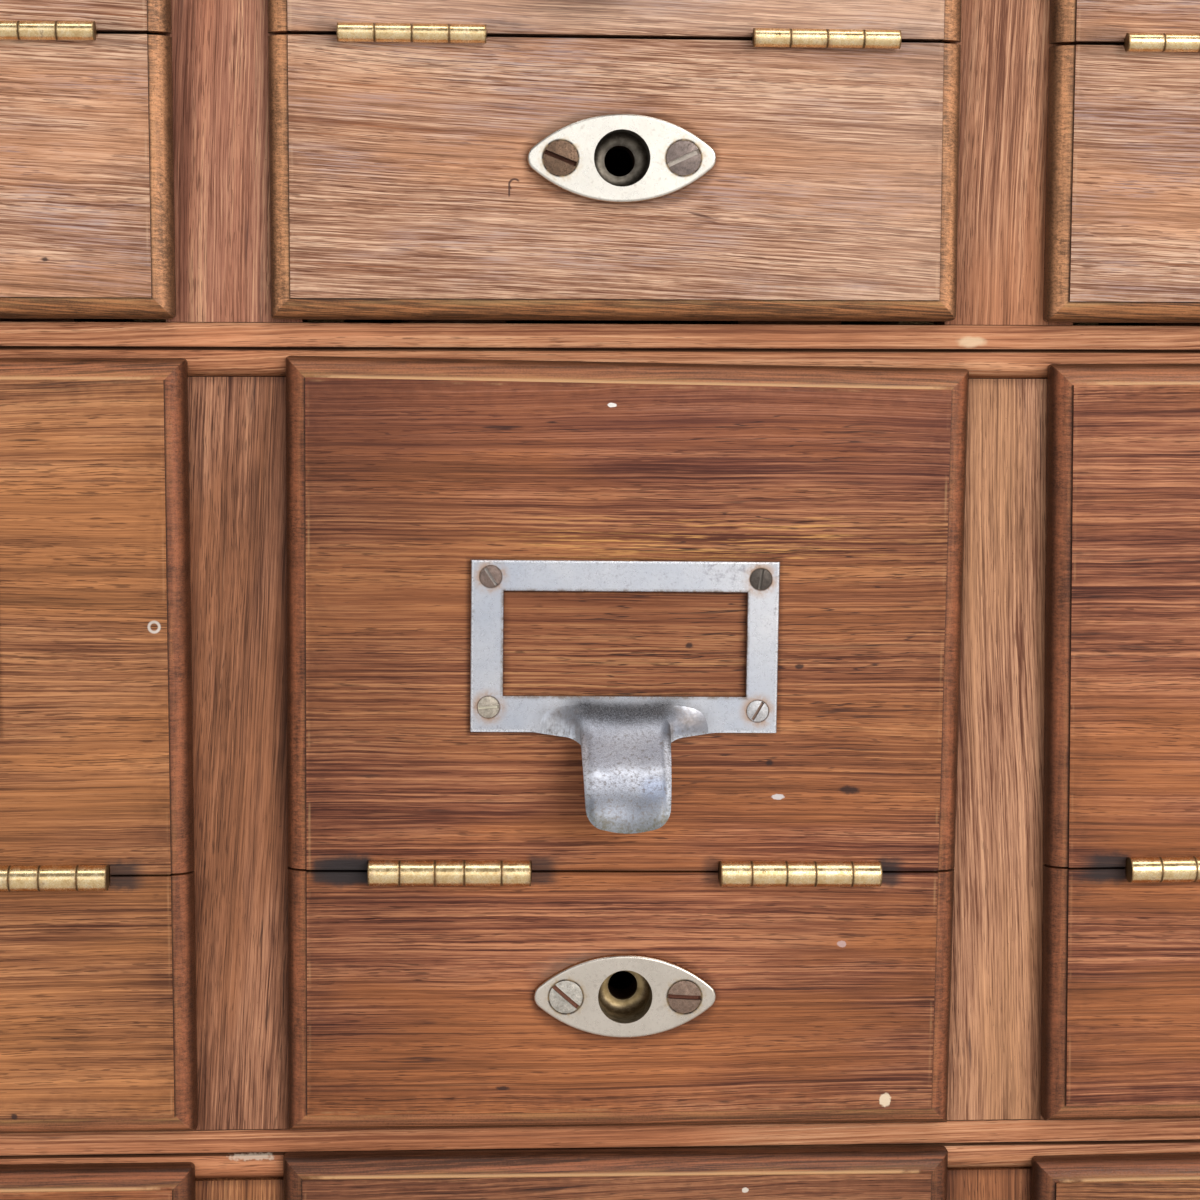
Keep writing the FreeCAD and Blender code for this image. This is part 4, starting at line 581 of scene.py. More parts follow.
def plate_nickel(key):
    m, c = new_material("plate_nickel_r%dc%d" % key)
    t = c["t"]
    xc, zr = COL_X[key[1]] + XS, ROW_Z[key[0]]
    cx, cz, tilt = PLATES[key][0] + xc, PLATES[key][1] + zr, PLATES[key][2]
    hx, hz = local(c, cx, cz, tilt)
    off = key[0] * 53.0 + key[1] * 17.0
    p = t.vmath("ADD", c["mm"], (off, 0.0, off * 0.3))
    big = t.noise(p, 0.07, 3.0, 0.6)
    mot = t.noise(p, 0.5, 5.0, 0.7)
    fin = t.noise(p, 2.8, 3.0, 0.7)
    warm = (222, 216, 206) if key[0] == 1 else (212, 202, 190)
    col = t.ramp(big, [(0.3, srgb(*[v - 14 for v in warm])), (0.7, srgb(*warm))])
    col = t.mix(t.mul(t.step(mot, 0.55, 0.70), 0.5), col, srgb(164, 152, 140))
    col = t.mix(t.mul(t.step(fin, 0.64, 0.74), 0.5), col, srgb(120, 100, 82))
    # yellow metal at the worn rim
    r = dist2(t, hx, hz, 0.0, 0.0)
    rim = t.step(c["y"], -203.75, -203.2)
    out = t.step(r, 7.6, 8.2)
    col = t.mix(t.mul(t.mul(rim, out), 0.9), col, srgb(170, 124, 64))
    # cup: dull, brown towards the floor, bright ring at the rod hole
    cup = t.mul(t.step(r, 7.5, 6.95), t.step(c["y"], -203.7, -202.6))
    deep = t.step(c["y"], -202.0, -193.5)
    cupc = t.mix(deep, srgb(156, 146, 130), srgb(150, 132, 104)) if key[0] > 1 else t.mix(deep, srgb(132, 126, 118), srgb(116, 108, 98))
    cupc = t.mix(t.mul(t.step(mot, 0.42, 0.6), 0.7), cupc, srgb(104, 86, 64) if key[0] > 1 else srgb(76, 68, 60))
    col = t.mix(cup, col, cupc)
    ring = t.mul(bell(t, r, 4.6, 1.3), t.step(c["y"], -195.5, -193.6))
    col = t.mix(t.mul(ring, 0.45), col, srgb(196, 170, 118) if key[0] > 1 else srgb(136, 128, 116))
    d = t.mn(dist2(t, hx, hz, -PLATE_SCREW_X, 0.0), dist2(t, hx, hz, PLATE_SCREW_X, 0.0))
    col = t.mix(t.step(d, 4.3, 4.8, 0.95, 0.0), col, srgb(50, 35, 26))
    col = t.mix(t.mul(t.step(d, 4.3, 6.2, 1.0, 0.0), t.step(mot, 0.42, 0.6, 0.0, 0.5)), col, srgb(186, 158, 118))
    c["col"] = col
    c["rough"] = t.add(t.step(mot, 0.35, 0.65, 0.24, 0.38, False), t.mul(cup, 0.22))
    c["height"] = t.sub(t.mul(mot, 0.5), t.mul(t.step(fin, 0.64, 0.74), 0.4))
    finish(c, 0.10, 0.0003)
    c["bs"].inputs["Metallic"].default_value = 1.0
    return m


def brass(key):
    m, c = new_material("brass_r%dc%d" % key)
    t = c["t"]
    xc, zr = COL_X[key[1]] + XS, ROW_Z[key[0]]
    off = key[0] * 23.0 + key[1] * 47.0
    p = t.vmath("ADD", c["mm"], (off, 0.0, off * 0.3))
    mot = t.noise(p, 0.4, 5.0, 0.7)
    fin = t.noise(p, 2.6, 3.0, 0.65)
    line = t.noise(t.vec(t.mul(c["x"], 3.0), t.mul(c["y"], 0.2), t.mul(c["z"], 0.2)), 1.0, 2.0, 0.6)
    col = t.ramp(t.add(t.mul(mot, 0.6), t.mul(fin, 0.4)), [(0.32, srgb(200, 160, 104)), (0.5, srgb(235, 206, 155)), (0.68, srgb(252, 237, 202))])
    col = t.mix(t.mul(t.step(mot, 0.58, 0.70), 0.55), col, srgb(140, 92, 50))
    kind, h0, h1 = HINGES[key]
    L, R, fr = HINGE_KIND[kind]
    d = None
    for hc in (h0, h1):
        for f in fr:
            e = absv(t, t.sub(c["x"], xc + hc - L / 2 + f * L))
            d = e if d is None else t.mn(d, e)
    joint = t.step(t.add(d, t.mul(t.sub(fin, 0.5), 0.5)), 0.12, 0.55, 1.0, 0.0)
    col = t.mix(t.mul(joint, 0.8), col, srgb(74, 48, 26))
    col = t.mix(t.mul(t.step(d, 0.3, 2.0, 1.0, 0.0), t.step(mot, 0.45, 0.6, 0.0, 0.5)), col, srgb(150, 104, 58))
    # painted shade, with dirt, where the hinge lies below the face in its mortise
    low = t.step(c["y"], -203.6, -202.2)
    col = t.mix(t.mul(low, 0.6), col, srgb(110, 76, 44))
    c["col"] = col
    c["rough"] = t.add(t.step(mot, 0.35, 0.65, 0.16, 0.34, False), t.mul(joint, 0.3))
    c["height"] = t.sub(t.add(t.mul(mot, 0.4), t.mul(line, 0.2)), t.mul(joint, 0.4))
    finish(c, 0.10, 0.0003)
    c["bs"].inputs["Metallic"].default_value = 1.0
    return m


def screw_metal(name, base, dirt, slot, y_face, amount=0.6):
    m, c = new_material(name)
    t = c["t"]
    mot = t.noise(c["mm"], 0.9, 4.0, 0.7)
    fin = t.noise(c["mm"], 3.2, 3.0, 0.7)
    col = t.ramp(t.add(t.mul(mot, 0.5), t.mul(fin, 0.5)), [(0.35, srgb(*[v * 0.7 for v in base])), (0.5, srgb(*base)),
                                                            (0.68, srgb(*[min(255, v * 1.25) for v in base]))])
    col = t.mix(t.mul(t.step(fin, 0.50, 0.62), amount), col, srgb(*dirt))
    inslot = t.step(c["y"], y_face + 0.30, y_face + 0.42)
    col = t.mix(t.mul(inslot, 0.9), col, srgb(*slot))
    c["col"] = col
    c["rough"] = t.add(t.step(fin, 0.35, 0.65, 0.34, 0.58, False), t.mul(inslot, 0.3))
    c["height"] = t.sub(t.mul(mot, 0.5), t.mul(t.step(fin, 0.55, 0.68), 0.6))
    finish(c, 0.35, 0.0003)
    c["bs"].inputs["Metallic"].default_value = 0.75
    return m


def steel(name, base=(136, 128, 118), dirt=(92, 68, 50)):
    m, c = new_material(name)
    t = c["t"]
    mot = t.noise(c["mm"], 0.8, 4.0, 0.7)
    fin = t.noise(c["mm"], 3.0, 3.0, 0.7)
    c["col"] = t.mix(t.mul(t.step(mot, 0.45, 0.62), 0.7), srgb(*base), srgb(*dirt))
    c["rough"] = t.step(fin, 0.35, 0.65, 0.34, 0.55, False)
    c["height"] = t.add(t.mul(mot, 0.5), t.mul(fin, 0.4))
    finish(c, 0.2, 0.0003)
    c["bs"].inputs["Metallic"].default_value = 0.9
    return m


# ---------------------------------------------------------------------------
# Materials by node and by place
# ---------------------------------------------------------------------------
def whole(o, m):
    o.data.materials.clear()
    o.data.materials.append(m)


# ---------------------------------------------------------------------------
# Materials
# ---------------------------------------------------------------------------
def by_place(o, mats, chooser):
    """chooser(centres, lowest, highest) gives the material index of every face, places in millimetres."""
    me = o.data
    n = len(me.vertices)
    co = np.empty(n * 3, np.float32)
    me.vertices.foreach_get("co", co)
    co = co.reshape(-1, 3) * 1000.0
    loops = np.empty(len(me.loops), np.int64)
    me.loops.foreach_get("vertex_index", loops)
    starts = np.empty(len(me.polygons), np.int64)
    me.polygons.foreach_get("loop_start", starts)
    pl = co[loops]
    tot = np.empty(len(me.polygons), np.int64)
    me.polygons.foreach_get("loop_total", tot)
    cen = np.add.reduceat(pl, starts, axis=0) / tot[:, None]
    lo = np.minimum.reduceat(pl, starts, axis=0)
    hi = np.maximum.reduceat(pl, starts, axis=0)
    me.materials.clear()
    for m in mats:
        me.materials.append(m)
    me.polygons.foreach_set("material_index", chooser(cen, lo, hi).astype(np.int32))
    me.update()


Y_PLATE = YS - FIELD - 1.6
Y_HOLDER = YS - FIELD - 1.8
SCREWS = {}


def screw_of(kind, y_face):
    k = (kind, y_face)
    if k not in SCREWS:
        base, dirt, slot, amt = {
            "dark": ((104, 90, 82), (62, 46, 38), (88, 78, 70), 0.7),
            "rust": ((134, 112, 98), (84, 56, 42), (122, 76, 60), 0.6),
            "pale": ((186, 180, 170), (112, 96, 82), (150, 96, 74), 0.5),
            "mid": ((150, 134, 122), (92, 72, 58), (176, 164, 150), 0.55),
            "rusty": ((114, 90, 72), (64, 42, 30), (84, 50, 38), 0.75),
            "umber": ((124, 110, 104), (80, 66, 58), (208, 198, 188), 0.55),
            "brown": ((128, 110, 102), (84, 64, 54), (198, 190, 184), 0.6),
            "black": ((84, 76, 70), (48, 40, 36), (150, 142, 134), 0.6),
            "cream": ((172, 162, 148), (116, 104, 90), (226, 220, 204), 0.5),
            "grey": ((188, 186, 187), (140, 132, 126), (158, 130, 112), 0.45)}[kind]
        SCREWS[k] = screw_metal("screw_%s_%d" % (kind, int(-y_face)), base, dirt, slot, y_face, amt)
    return SCREWS[k]


HSCREW = {(2, 2): ("brown", "black", "cream", "grey"), (1, 2): ("rust", "mid", "dark", "rust")}
PSCREW = {(2, 2): ("pale", "rust"), (1, 2): ("rusty", "umber")}
KINDS = ("dark", "rust", "mid", "pale")

STYLE = {}
for key in FRONTS:
    rnd = random.Random(key[0] * 17 + key[1] * 5 + 2)
    if key[0] == 1:
        st = dict(mixk=(0.34, 0.42, 1.50, 1.45), pal=GREY, slope=0.055 * rnd.uniform(0.6, 1.2), mould=(140, 92, 58), mould_v=(162, 114, 80), gold=(206, 164, 110),
                  stain=0.35, rim=0.25, worn=(226, 188, 152), mr=0.36, crest_highlight=0.4)
    elif key[0] == 2:
        st = dict(mixk=(0.52, 0.55, 1.80, 0.75), pal=RED if key[1] != 1 else BROWN, slope=0.008 * rnd.uniform(-1, 1), mould=(136, 86, 58), mould_v=(120, 71, 47),
                  gold=(196, 146, 88), stain=0.92)
    else:
        st = dict(mixk=(0.52, 0.55, 1.75, 0.75), pal=(BROWN, RED, DARKB)[key[1] % 3], slope=0.02 * rnd.uniform(-1, 1), mould=(122, 74, 50), mould_v=(98, 58, 38),
                  gold=(188, 136, 82), stain=0.6)
    fl = {"drop": [], "low": []}
    kn = {"drop": [], "low": []}
    xc, zr = COL_X[key[1]] + XS, ROW_Z[key[0]]
    if key not in ((2, 2), (1, 2)):
        for part, z0, z1 in (("drop", 75, 188), ("low", 6, 62)):
            for k in range(rnd.randint(0, 2)):
                fl[part].append((xc + rnd.uniform(-75, 75), zr + rnd.uniform(z0, z1), rnd.uniform(0.4, 1.5), rnd.uniform(0.4, 1.1),
                                 (220, 208, 192)))
            for k in range(rnd.randint(0, 2)):
                kn[part].append((xc + rnd.uniform(-75, 75), zr + rnd.uniform(z0, z1), rnd.uniform(0.8, 2.2), rnd.uniform(0.5, 1.2)))
    st["flecks"], st["knots"] = fl, kn
    st["seed"] = rnd.uniform(1, 40)
    STYLE[key] = st


def custom22(c):
    """Reddish head, orange where the finish is worn, darker foot."""
    t = c["t"]
    n = t.noise(t.vec(t.mul(c["x"], 0.012), t.mul(c["z"], 0.05), 2.0), 1.0, 4.0, 0.6)
    zz = t.add(c["z"], t.add(t.mul(t.sub(n, 0.5), 34.0), t.mul(c["x"], 0.05)))
    worn = t.mul(t.step(zz, 440.0, 420.0), t.step(zz, 352.0, 376.0))
    darken(c, t.mul(t.step(absv(t, t.sub(zz, 432.0)), 14.0, 4.0), 0.35), (0.55, 0.50, 0.48))
    tn = c["tone"]
    gold = t.ramp(tn, [(0.0, srgb(98, 52, 30)), (0.5, srgb(147, 91, 57)), (1.0, srgb(192, 136, 88))])
    c["col"] = t.mix(t.mul(worn, 0.50), c["col"], t.mix(t.mul(c["o"]["Pore"], 0.7), gold, srgb(64, 36, 24)))
    # golden lines where it is rubbed through, above and beside the holder
    rub = t.mul(t.step(c["o"]["Dash"], 0.52, 0.64), blob(c, 20.0, 424.0, 72.0, 10.0, 0.7, 0.4, 0.05))
    tint(c, t.mul(rub, 0.75), (218, 160, 92))
    head = t.step(zz, 434.0, 456.0)
    darken(c, t.mul(head, 0.36))
    tint(c, t.mul(head, 0.38), (118, 63, 53))
    tint(c, t.mul(t.mul(head, t.step(c["o"]["Line"], 0.47, 0.37)), 0.55), (70, 32, 28))
    tint(c, t.mul(t.mul(head, t.step(c["o"]["Line"], 0.53, 0.63)), 0.42), (184, 124, 100))
    # the wood that the card covered kept its colour, and the window is also painted lighter against the frame's shadow
    win = t.mul(t.step(absv(t, t.sub(c["x"], 0.2)), 29.9, 29.2), t.step(absv(t, t.sub(c["z"], 398.1)), 13.1, 12.5))
    kept = t.ramp(tn, [(0.0, srgb(126, 68, 40)), (0.5, srgb(180, 114, 76)), (1.0, srgb(216, 156, 106))])
    c["col"] = t.mix(t.mul(win, 0.72), c["col"], t.mix(t.mul(c["o"]["Pore"], 0.75), kept, srgb(70, 36, 24)))
    tint(c, t.mul(t.mul(win, t.step(c["o"]["Line"], 0.46, 0.36)), 0.50), (88, 44, 30))
    tint(c, t.mul(t.mul(win, t.step(c["o"]["Line"], 0.54, 0.64)), 0.38), (214, 158, 102))
    # painted shade darkens the left end; the lower right end is darker too
    darken(c, t.mul(t.mul(t.step(t.add(c["x"], t.mul(n, 40.0)), -4.0, -46.0), t.sub(1.0, t.step(c["dm"], 6.0, 5.0))), 0.45))
    darken(c, t.mul(t.mul(t.step(c["z"], 340.0, 336.0), t.step(t.add(c["x"], t.mul(n, 30.0)), 30.0, 62.0)), 0.30))
    # long drying cracks at the upper right
    for ox, cx, cz, rx, rz in ((11.0, 38.0, 448.0, 40.0, 9.0), (23.0, 44.0, 463.0, 34.0, 4.0), (31.0, -34.0, 452.0, 34.0, 6.0), (47.0, 30.0, 398.0, 60.0, 50.0)):
        cr = t.noise(t.vec(t.mul(c["x"], 0.016), t.mul(c["z"], 0.42), ox), 1.0, 2.0, 0.6)
        k = t.mul(t.step(absv(t, t.sub(cr, 0.5)), 0.014, 0.003), blob(c, cx, cz, rx, rz, 0.5, 0.25, 0.06))
        tint(c, t.mul(k, 0.78), (42, 22, 20))
    # soot-black stain beside the left hinge
    tint(c, t.mul(blob(c, -69.5, 341.6, 10.5, 4.6, 0.75, 0.35, 0.12), 0.85), (34, 28, 30))
    tint(c, t.mul(blob(c, -63.5, 340.8, 4.5, 3.0, 0.6, 0.3, 0.3), 0.7), (24, 20, 22))
    soot = t.step(t.add(absv(t, c["ds"]), t.mul(t.sub(n, 0.5), 2.0)), 3.3, 2.3)
    soot = t.mul(soot, t.mul(t.step(c["x"], -77.4, -75.6), t.step(c["x"], -60.0, -62.0)))
    tint(c, t.mul(soot, 0.74), (48, 41, 41))


def custom12(c):
    t = c["t"]
    n = t.noise(t.vec(t.mul(c["x"], 0.02), t.mul(c["z"], 0.08), 5.0), 1.0, 4.0, 0.6)
    g = t.mul(t.step(n, 0.45, 0.65), t.step(c["o"]["Dash"], 0.45, 0.62))
    tint(c, t.mul(g, 0.6), (154, 134, 138))
    o = t.mul(t.step(c["o"]["Line"], 0.44, 0.34), t.step(n, 0.60, 0.42))
    tint(c, t.mul(o, 0.65), (172, 106, 66))


STYLE[(2, 2)].update(custom=custom22, worn=(214, 170, 120))
STYLE[(2, 3)].update(mixk=(0.52, 0.55, 1.40, 0.75))
STYLE[(2, 2)]["flecks"] = {"drop": [(-3.23, 456.6, 1.3, 0.6, (236, 232, 226)), (38.5, 359.6, 1.8, 0.8, (206, 198, 196))],
                           "low": [(66.5, 281.7, 1.7, 2.0, (226, 204, 174)), (55.0, 322.1, 1.3, 1.0, (188, 156, 150))]}
STYLE[(2, 2)]["knots"] = {"drop": [(56.2, 361.2, 3.3, 1.5), (43.5, 392.3, 1.4, 0.9), (36.2, 368.2, 1.3, 1.0), (16.0, 397.5, 1.3, 1.0)],
                          "low": [(-30.0, 286.0, 2.2, 0.7)]}
for c_ in (1, 2, 3):
    STYLE[(1, c_)]["custom"] = custom12


def marks12(c):
    """A curled scratch, a short crack and the paler right end of the top middle drawer."""
    custom12(c)
    t = c["t"]
    e = dist2(t, c["x"], c["z"], -26.9, 509.4)
    k = t.mul(t.step(absv(t, t.sub(e, 1.3)), 0.36, 0.12), t.step(t.sub(c["z"], c["x"]), 535.6, 536.6))
    stem = t.mul(t.step(absv(t, t.add(c["x"], 28.2)), 0.34, 0.10), t.mul(t.step(c["z"], 506.2, 507.0), t.step(c["z"], 510.2, 509.6)))
    tint(c, t.mul(t.mx(k, stem), 0.85), (62, 36, 32))
    e = t.add(absv(t, t.add(t.sub(c["z"], 502.4), t.mul(t.sub(c["x"], 17.9), 0.25))), t.mul(t.math("POWER", absv(t, t.sub(c["x"], 17.9)), 2.0), 0.03))
    tint(c, t.mul(t.step(e, 0.5, 0.15), 0.8), (84, 50, 40))
    tint(c, t.mul(t.step(t.add(c["x"], t.mul(c["tone"], 30.0)), 20.0, 90.0), 0.18), (226, 190, 164))
    tint(c, t.mul(t.step(c["ds"], 0.0, 3.0), 0.20), (232, 200, 178))


def marks21(c):
    t = c["t"]
    e = dist2(t, c["x"], c["z"], -114.6, 402.5)
    tint(c, t.mul(t.step(absv(t, t.sub(e, 1.25)), 0.5, 0.15), 0.8), (226, 216, 206))


def marks32(c):
    t = c["t"]
    for cx, cz, rx, rz in ((-62.7, 266.4, 1.2, 1.5), (-61.0, 265.2, 2.6, 0.5), (-66.0, 267.0, 2.2, 0.4)):
        tint(c, t.mul(blob(c, cx, cz, rx, rz, 0.4, 0.5, 0.9), 0.8), (226, 206, 184))
    tint(c, t.mul(blob(c, 31.3, 258.75, 1.0, 0.8, 0.3, 0.3, 0.9), 0.85), (232, 222, 208))


STYLE[(1, 2)]["custom"] = marks12
STYLE[(2, 1)]["custom"] = marks21
STYLE[(3, 2)]["custom"] = marks32

for key in FRONTS:
    k = "r%dc%d" % key
    st = STYLE[key]
    xc, zr = COL_X[key[1]] + XS, ROW_Z[key[0]]
    for part, node in (("drop", "drop_front_" + k), ("low", "lower_front_" + k)):
        whole(nodes[node], oak("oak_%s_%s" % (part, k), "X", "XZ", seed=st["seed"], pal=st["pal"], slope=st["slope"], mixk=st["mixk"],
                               bump=0.38 if key[0] == 1 else 0.30, streak=0.75, extra=front_extra(key, part, st)))
    rnd = random.Random(key[0] * 7 + key[1] * 3)
    hs = HSCREW.get(key) or [rnd.choice(KINDS) for _ in range(4)]
    ps = PSCREW.get(key) or [rnd.choice(KINDS) for _ in range(2)]
    BR, NI, PL = brass(key), nickel(key), plate_nickel(key)
    ax, az, tl = HOLDERS[key]
    ax, az, tl = ax + xc, az + zr, math.radians(tl)

    def holder_pick(cen, lo, hi, ax=ax, az=az, tl=tl):
        x, z = cen[:, 0] - ax, cen[:, 2] - az
        hx, hz = x * math.cos(tl) + z * math.sin(tl), -x * math.sin(tl) + z * math.cos(tl)
        out = np.zeros(len(cen), np.int32)           # hinge brass
        body = (hz > -50) & (np.abs(hx) < 38.4) & (cen[:, 1] < -195) & (cen[:, 2] > az - 46)
        out[body] = 1
        for i, (sx, sz) in enumerate(HOLDER_SCREWS):
            wx, wz = ax + sx * math.cos(tl) - sz * math.sin(tl), az + sx * math.sin(tl) + sz * math.cos(tl)
            near = np.maximum(np.maximum(np.abs(lo[:, 0] - wx), np.abs(hi[:, 0] - wx)),
                              np.maximum(np.abs(lo[:, 2] - wz), np.abs(hi[:, 2] - wz)))
            out[(near < 2.72) & (np.hypot(hx - sx, hz - sz) < 2.66)] = 2 + i
        return out
    by_place(nodes["drop_fittings_" + k], [BR, NI] + [screw_of(v, Y_HOLDER) for v in hs], holder_pick)
    bx, bz, bt = PLATES[key]
    bx, bz, bt = bx + xc, bz + zr, math.radians(bt)

    def plate_pick(cen, lo, hi, bx=bx, bz=bz, bt=bt):
        x, z = cen[:, 0] - bx, cen[:, 2] - bz
        hx, hz = x * math.cos(bt) + z * math.sin(bt), -x * math.sin(bt) + z * math.cos(bt)
        out = np.zeros(len(cen), np.int32)
        out[(np.abs(hx) < 23.5) & (np.abs(hz) < 11.5)] = 1
        for i, sx in enumerate((-PLATE_SCREW_X, PLATE_SCREW_X)):
            out[np.hypot(hx - sx, hz) < 4.12] = 2 + i
        return out
    by_place(nodes["lower_fittings_" + k], [BR, PL] + [screw_of(v, Y_PLATE) for v in ps], plate_pick)


def stile_extra(c):
    """Painted shade, with grime, along both edges beside the drawer fronts, a painted shadow under the rail bead at
    the head of each length, small pits.
    """
    t = c["t"]
    d = None
    for a in ((COL_X[1] + COL_X[2]) / 2, (COL_X[2] + COL_X[3]) / 2):
        e = absv(t, t.sub(c["x"], a + XS))
        d = e if d is None else t.mn(d, e)
    fine = t.noise(c["mm"], 1.6, 3.0, 0.65)
    mid = t.noise(c["mm"], 0.12, 3.0, 0.6)
    e = t.add(d, t.mul(t.sub(mid, 0.5), 4.0))
    # painted shade, with grime, along both edges where the proud drawer fronts shade the stile
    darken(c, t.mul(t.mul(t.step(e, 6.6, 12.0), t.step(d, 60.0, 30.0)), 0.70), (0.42, 0.32, 0.27))
    tint(c, t.mul(t.step(fine, 0.66, 0.76), 0.6), (66, 40, 30))
    # painted shadow under the rail bead at the head of each stile length
    for z0 in ROW_Z.values():
        e = t.sub(z0 + 189.5, c["z"])
        darken(c, t.mul(t.mul(t.step(e, 0.0, 2.4, 1.0, 0.0), t.step(e, -0.5, 0.0)), 0.6))


def rail_extra(c):
    """Painted shade with dirt in the quirk, painted shade under the bead, under the drawer fronts and on the top and
    bottom faces, lighter patches on the upper bead.
    """
    t = c["t"]
    n = t.noise(t.vec(t.mul(c["x"], 0.03), t.mul(c["z"], 0.5), 1.0), 1.0, 4.0, 0.65)
    for r in (1, 2):
        z0 = ROW_Z[r] - 13.0
        b = t.sub(c["z"], z0)
        inside = t.mul(t.step(b, -0.5, 0.0), t.step(b, 13.5, 13.0))
        # painted shade, with dirt, in the quirk
        q = t.mul(bell(t, b, 6.75, 0.95), inside)
        tint(c, t.mul(q, t.step(n, 0.3, 0.6, 0.45, 0.9)), (58, 34, 22))
        # painted shade on the underside of the bead
        under = t.mul(t.mul(t.step(b, 2.8, 0.4), t.step(b, -1.0, 0.0)), 0.7)
        darken(c, under)
        # lighter patches along the upper part of the bead
        crown = t.mul(bell(t, b, 4.4, 1.6), t.step(n, 0.45, 0.6))
        tint(c, t.mul(crown, 0.20), (196, 140, 96))
        # painted shadow along the top of the rail, under the drawer fronts
        top = t.mul(t.mul(t.step(b, 11.8, 12.9), t.step(b, 14.0, 13.2)), 0.5)
        darken(c, top)
    # painted shade: the rail's top and bottom faces are painted nearly black
    darken(c, t.step(absv(t, c["nz"]), 0.80, 0.97), (0.10, 0.08, 0.07))
    tint(c, t.mul(blob(c, 86.3, 472.1, 4.5, 1.6, 0.5, 0.3, 0.4), 0.75), (226, 196, 160))
    tint(c, t.mul(blob(c, -93.0, 266.6, 7.0, 0.9, 0.5, 0.8, 0.9), 0.6), (214, 196, 176))


def case_extra(c):
    """Darker towards the floor, paler patches, and scattered dark specks."""
    t = c["t"]
    mid = t.noise(c["mm"], 0.03, 4.0, 0.65)
    fine = t.noise(c["mm"], 0.9, 3.0, 0.65)
    foot = t.step(t.add(c["z"], t.mul(t.sub(mid, 0.5), 160.0)), 130.0, 10.0)
    darken(c, t.mul(foot, 0.45))
    tint(c, t.mul(t.step(mid, 0.56, 0.70), 0.25), (188, 140, 104))
    tint(c, t.mul(t.step(fine, 0.68, 0.76), 0.5), (62, 40, 28))


FRAME = {
    "lu": oak("oak_stile_a", "Z", "XZ", seed=3.3, pal=dict(TAN, mid=(168, 112, 88), hue=(160, 98, 70)), slope=-0.03, wander=12, mixk=(0.36, 0.40, 1.15, 0.85), extra=stile_extra),
    "lm": oak("oak_stile_b", "Z", "XZ", seed=5.9, pal=dict(DARKB, mid=(148, 98, 72), light=(184, 130, 97)), slope=-0.05, wander=12, mixk=(0.75, 0.55, 1.35, 1.15), streak=0.9, extra=stile_extra),
    "ru": oak("oak_stile_c", "Z", "XZ", seed=8.1, pal=dict(TAN, mid=(173, 119, 88), light=(214, 162, 125)), slope=-0.02, wander=10, mixk=(0.42, 0.45, 1.30, 1.0), extra=stile_extra),
    "rm": oak("oak_stile_d", "Z", "XZ", seed=11.4, pal=dict(TAN, mid=(174, 124, 94), hue=(186, 134, 94)), slope=0.03, wander=8, mixk=(0.6, 0.5, 1.45, 1.15), streak=0.8, extra=stile_extra),
    "lb": oak("oak_stile_e", "Z", "XZ", seed=14.7, pal=BROWN, slope=-0.05, wander=14, extra=stile_extra),
    "rb": oak("oak_stile_f", "Z", "XZ", seed=17.2, pal=DARKB, slope=0.04, wander=14, extra=stile_extra),
    "ol": oak("oak_stile_g", "Z", "XZ", seed=20.9, pal=BROWN, slope=0.02, wander=14, extra=case_extra),
    "or": oak("oak_stile_h", "Z", "XZ", seed=23.5, pal=BROWN, slope=-0.03, wander=14, extra=case_extra)}


def stile_place(cen, lo, hi):
    names = list(FRAME)
    out = np.empty(len(cen), np.int32)
    for i, (x, y, z) in enumerate(cen):
        if abs(x) > 200:
            n = "ol" if x < 0 else "or"
        else:
            n = ("l" if x < 0 else "r") + ("u" if z > 470 else "m" if z > 268 else "b")
        out[i] = names.index(n)
    return out


by_place(nodes["face_stiles"], list(FRAME.values()), stile_place)
FRAME_H = oak("oak_rails", "X", "XZ", seed=27.9, pal=dict(TAN, mid=(186, 124, 86), hue=(180, 108, 70), dark=(128, 74, 48), light=(216, 160, 120)), slope=-0.012, wander=9, rings=0.35, mixk=(0.50, 0.60, 1.6, 0.75), extra=rail_extra)
CASE_V = oak("oak_case_v", "Z", "YZ", seed=12.1, pal=BROWN, wander=30, extra=case_extra)
CASE_Y = oak("oak_case_y", "Y", "YZ", seed=17.7, pal=BROWN, wander=20, extra=case_extra)
CASE_X = oak("oak_case_x", "X", "XZ", seed=22.4, pal=DARKB, wander=20, extra=case_extra)
PANEL = oak("oak_panel", "Z", "YZ", seed=33.1, pal=RED, wander=60, rings=0.10, extra=case_extra)
TOP = oak("oak_top", "X", "XY", seed=28.2, pal=BROWN, wander=50, rings=0.12, extra=case_extra)
PINE = dict(dark=(148, 108, 72), mid=(180, 142, 100), light=(206, 172, 130), hue=(190, 148, 100), pore=(112, 76, 48), streak=(120, 88, 62))
INNER_Y = oak("inner_y", "Y", "YZ", seed=31.0, pal=PINE, wander=24, rings=0.12, pore=0.35, streak=0.4)
INNER_Z = oak("inner_z", "Z", "XZ", seed=35.0, pal=PINE, wander=24, rings=0.12, pore=0.35, streak=0.4)
INNER_X = oak("inner_x", "X", "XY", seed=38.0, pal=PINE, wander=24, rings=0.12, pore=0.35, streak=0.4)
INNER_B = oak("inner_b", "X", "XZ", seed=41.0, pal=PINE, wander=18, rings=0.12, pore=0.35, streak=0.4)


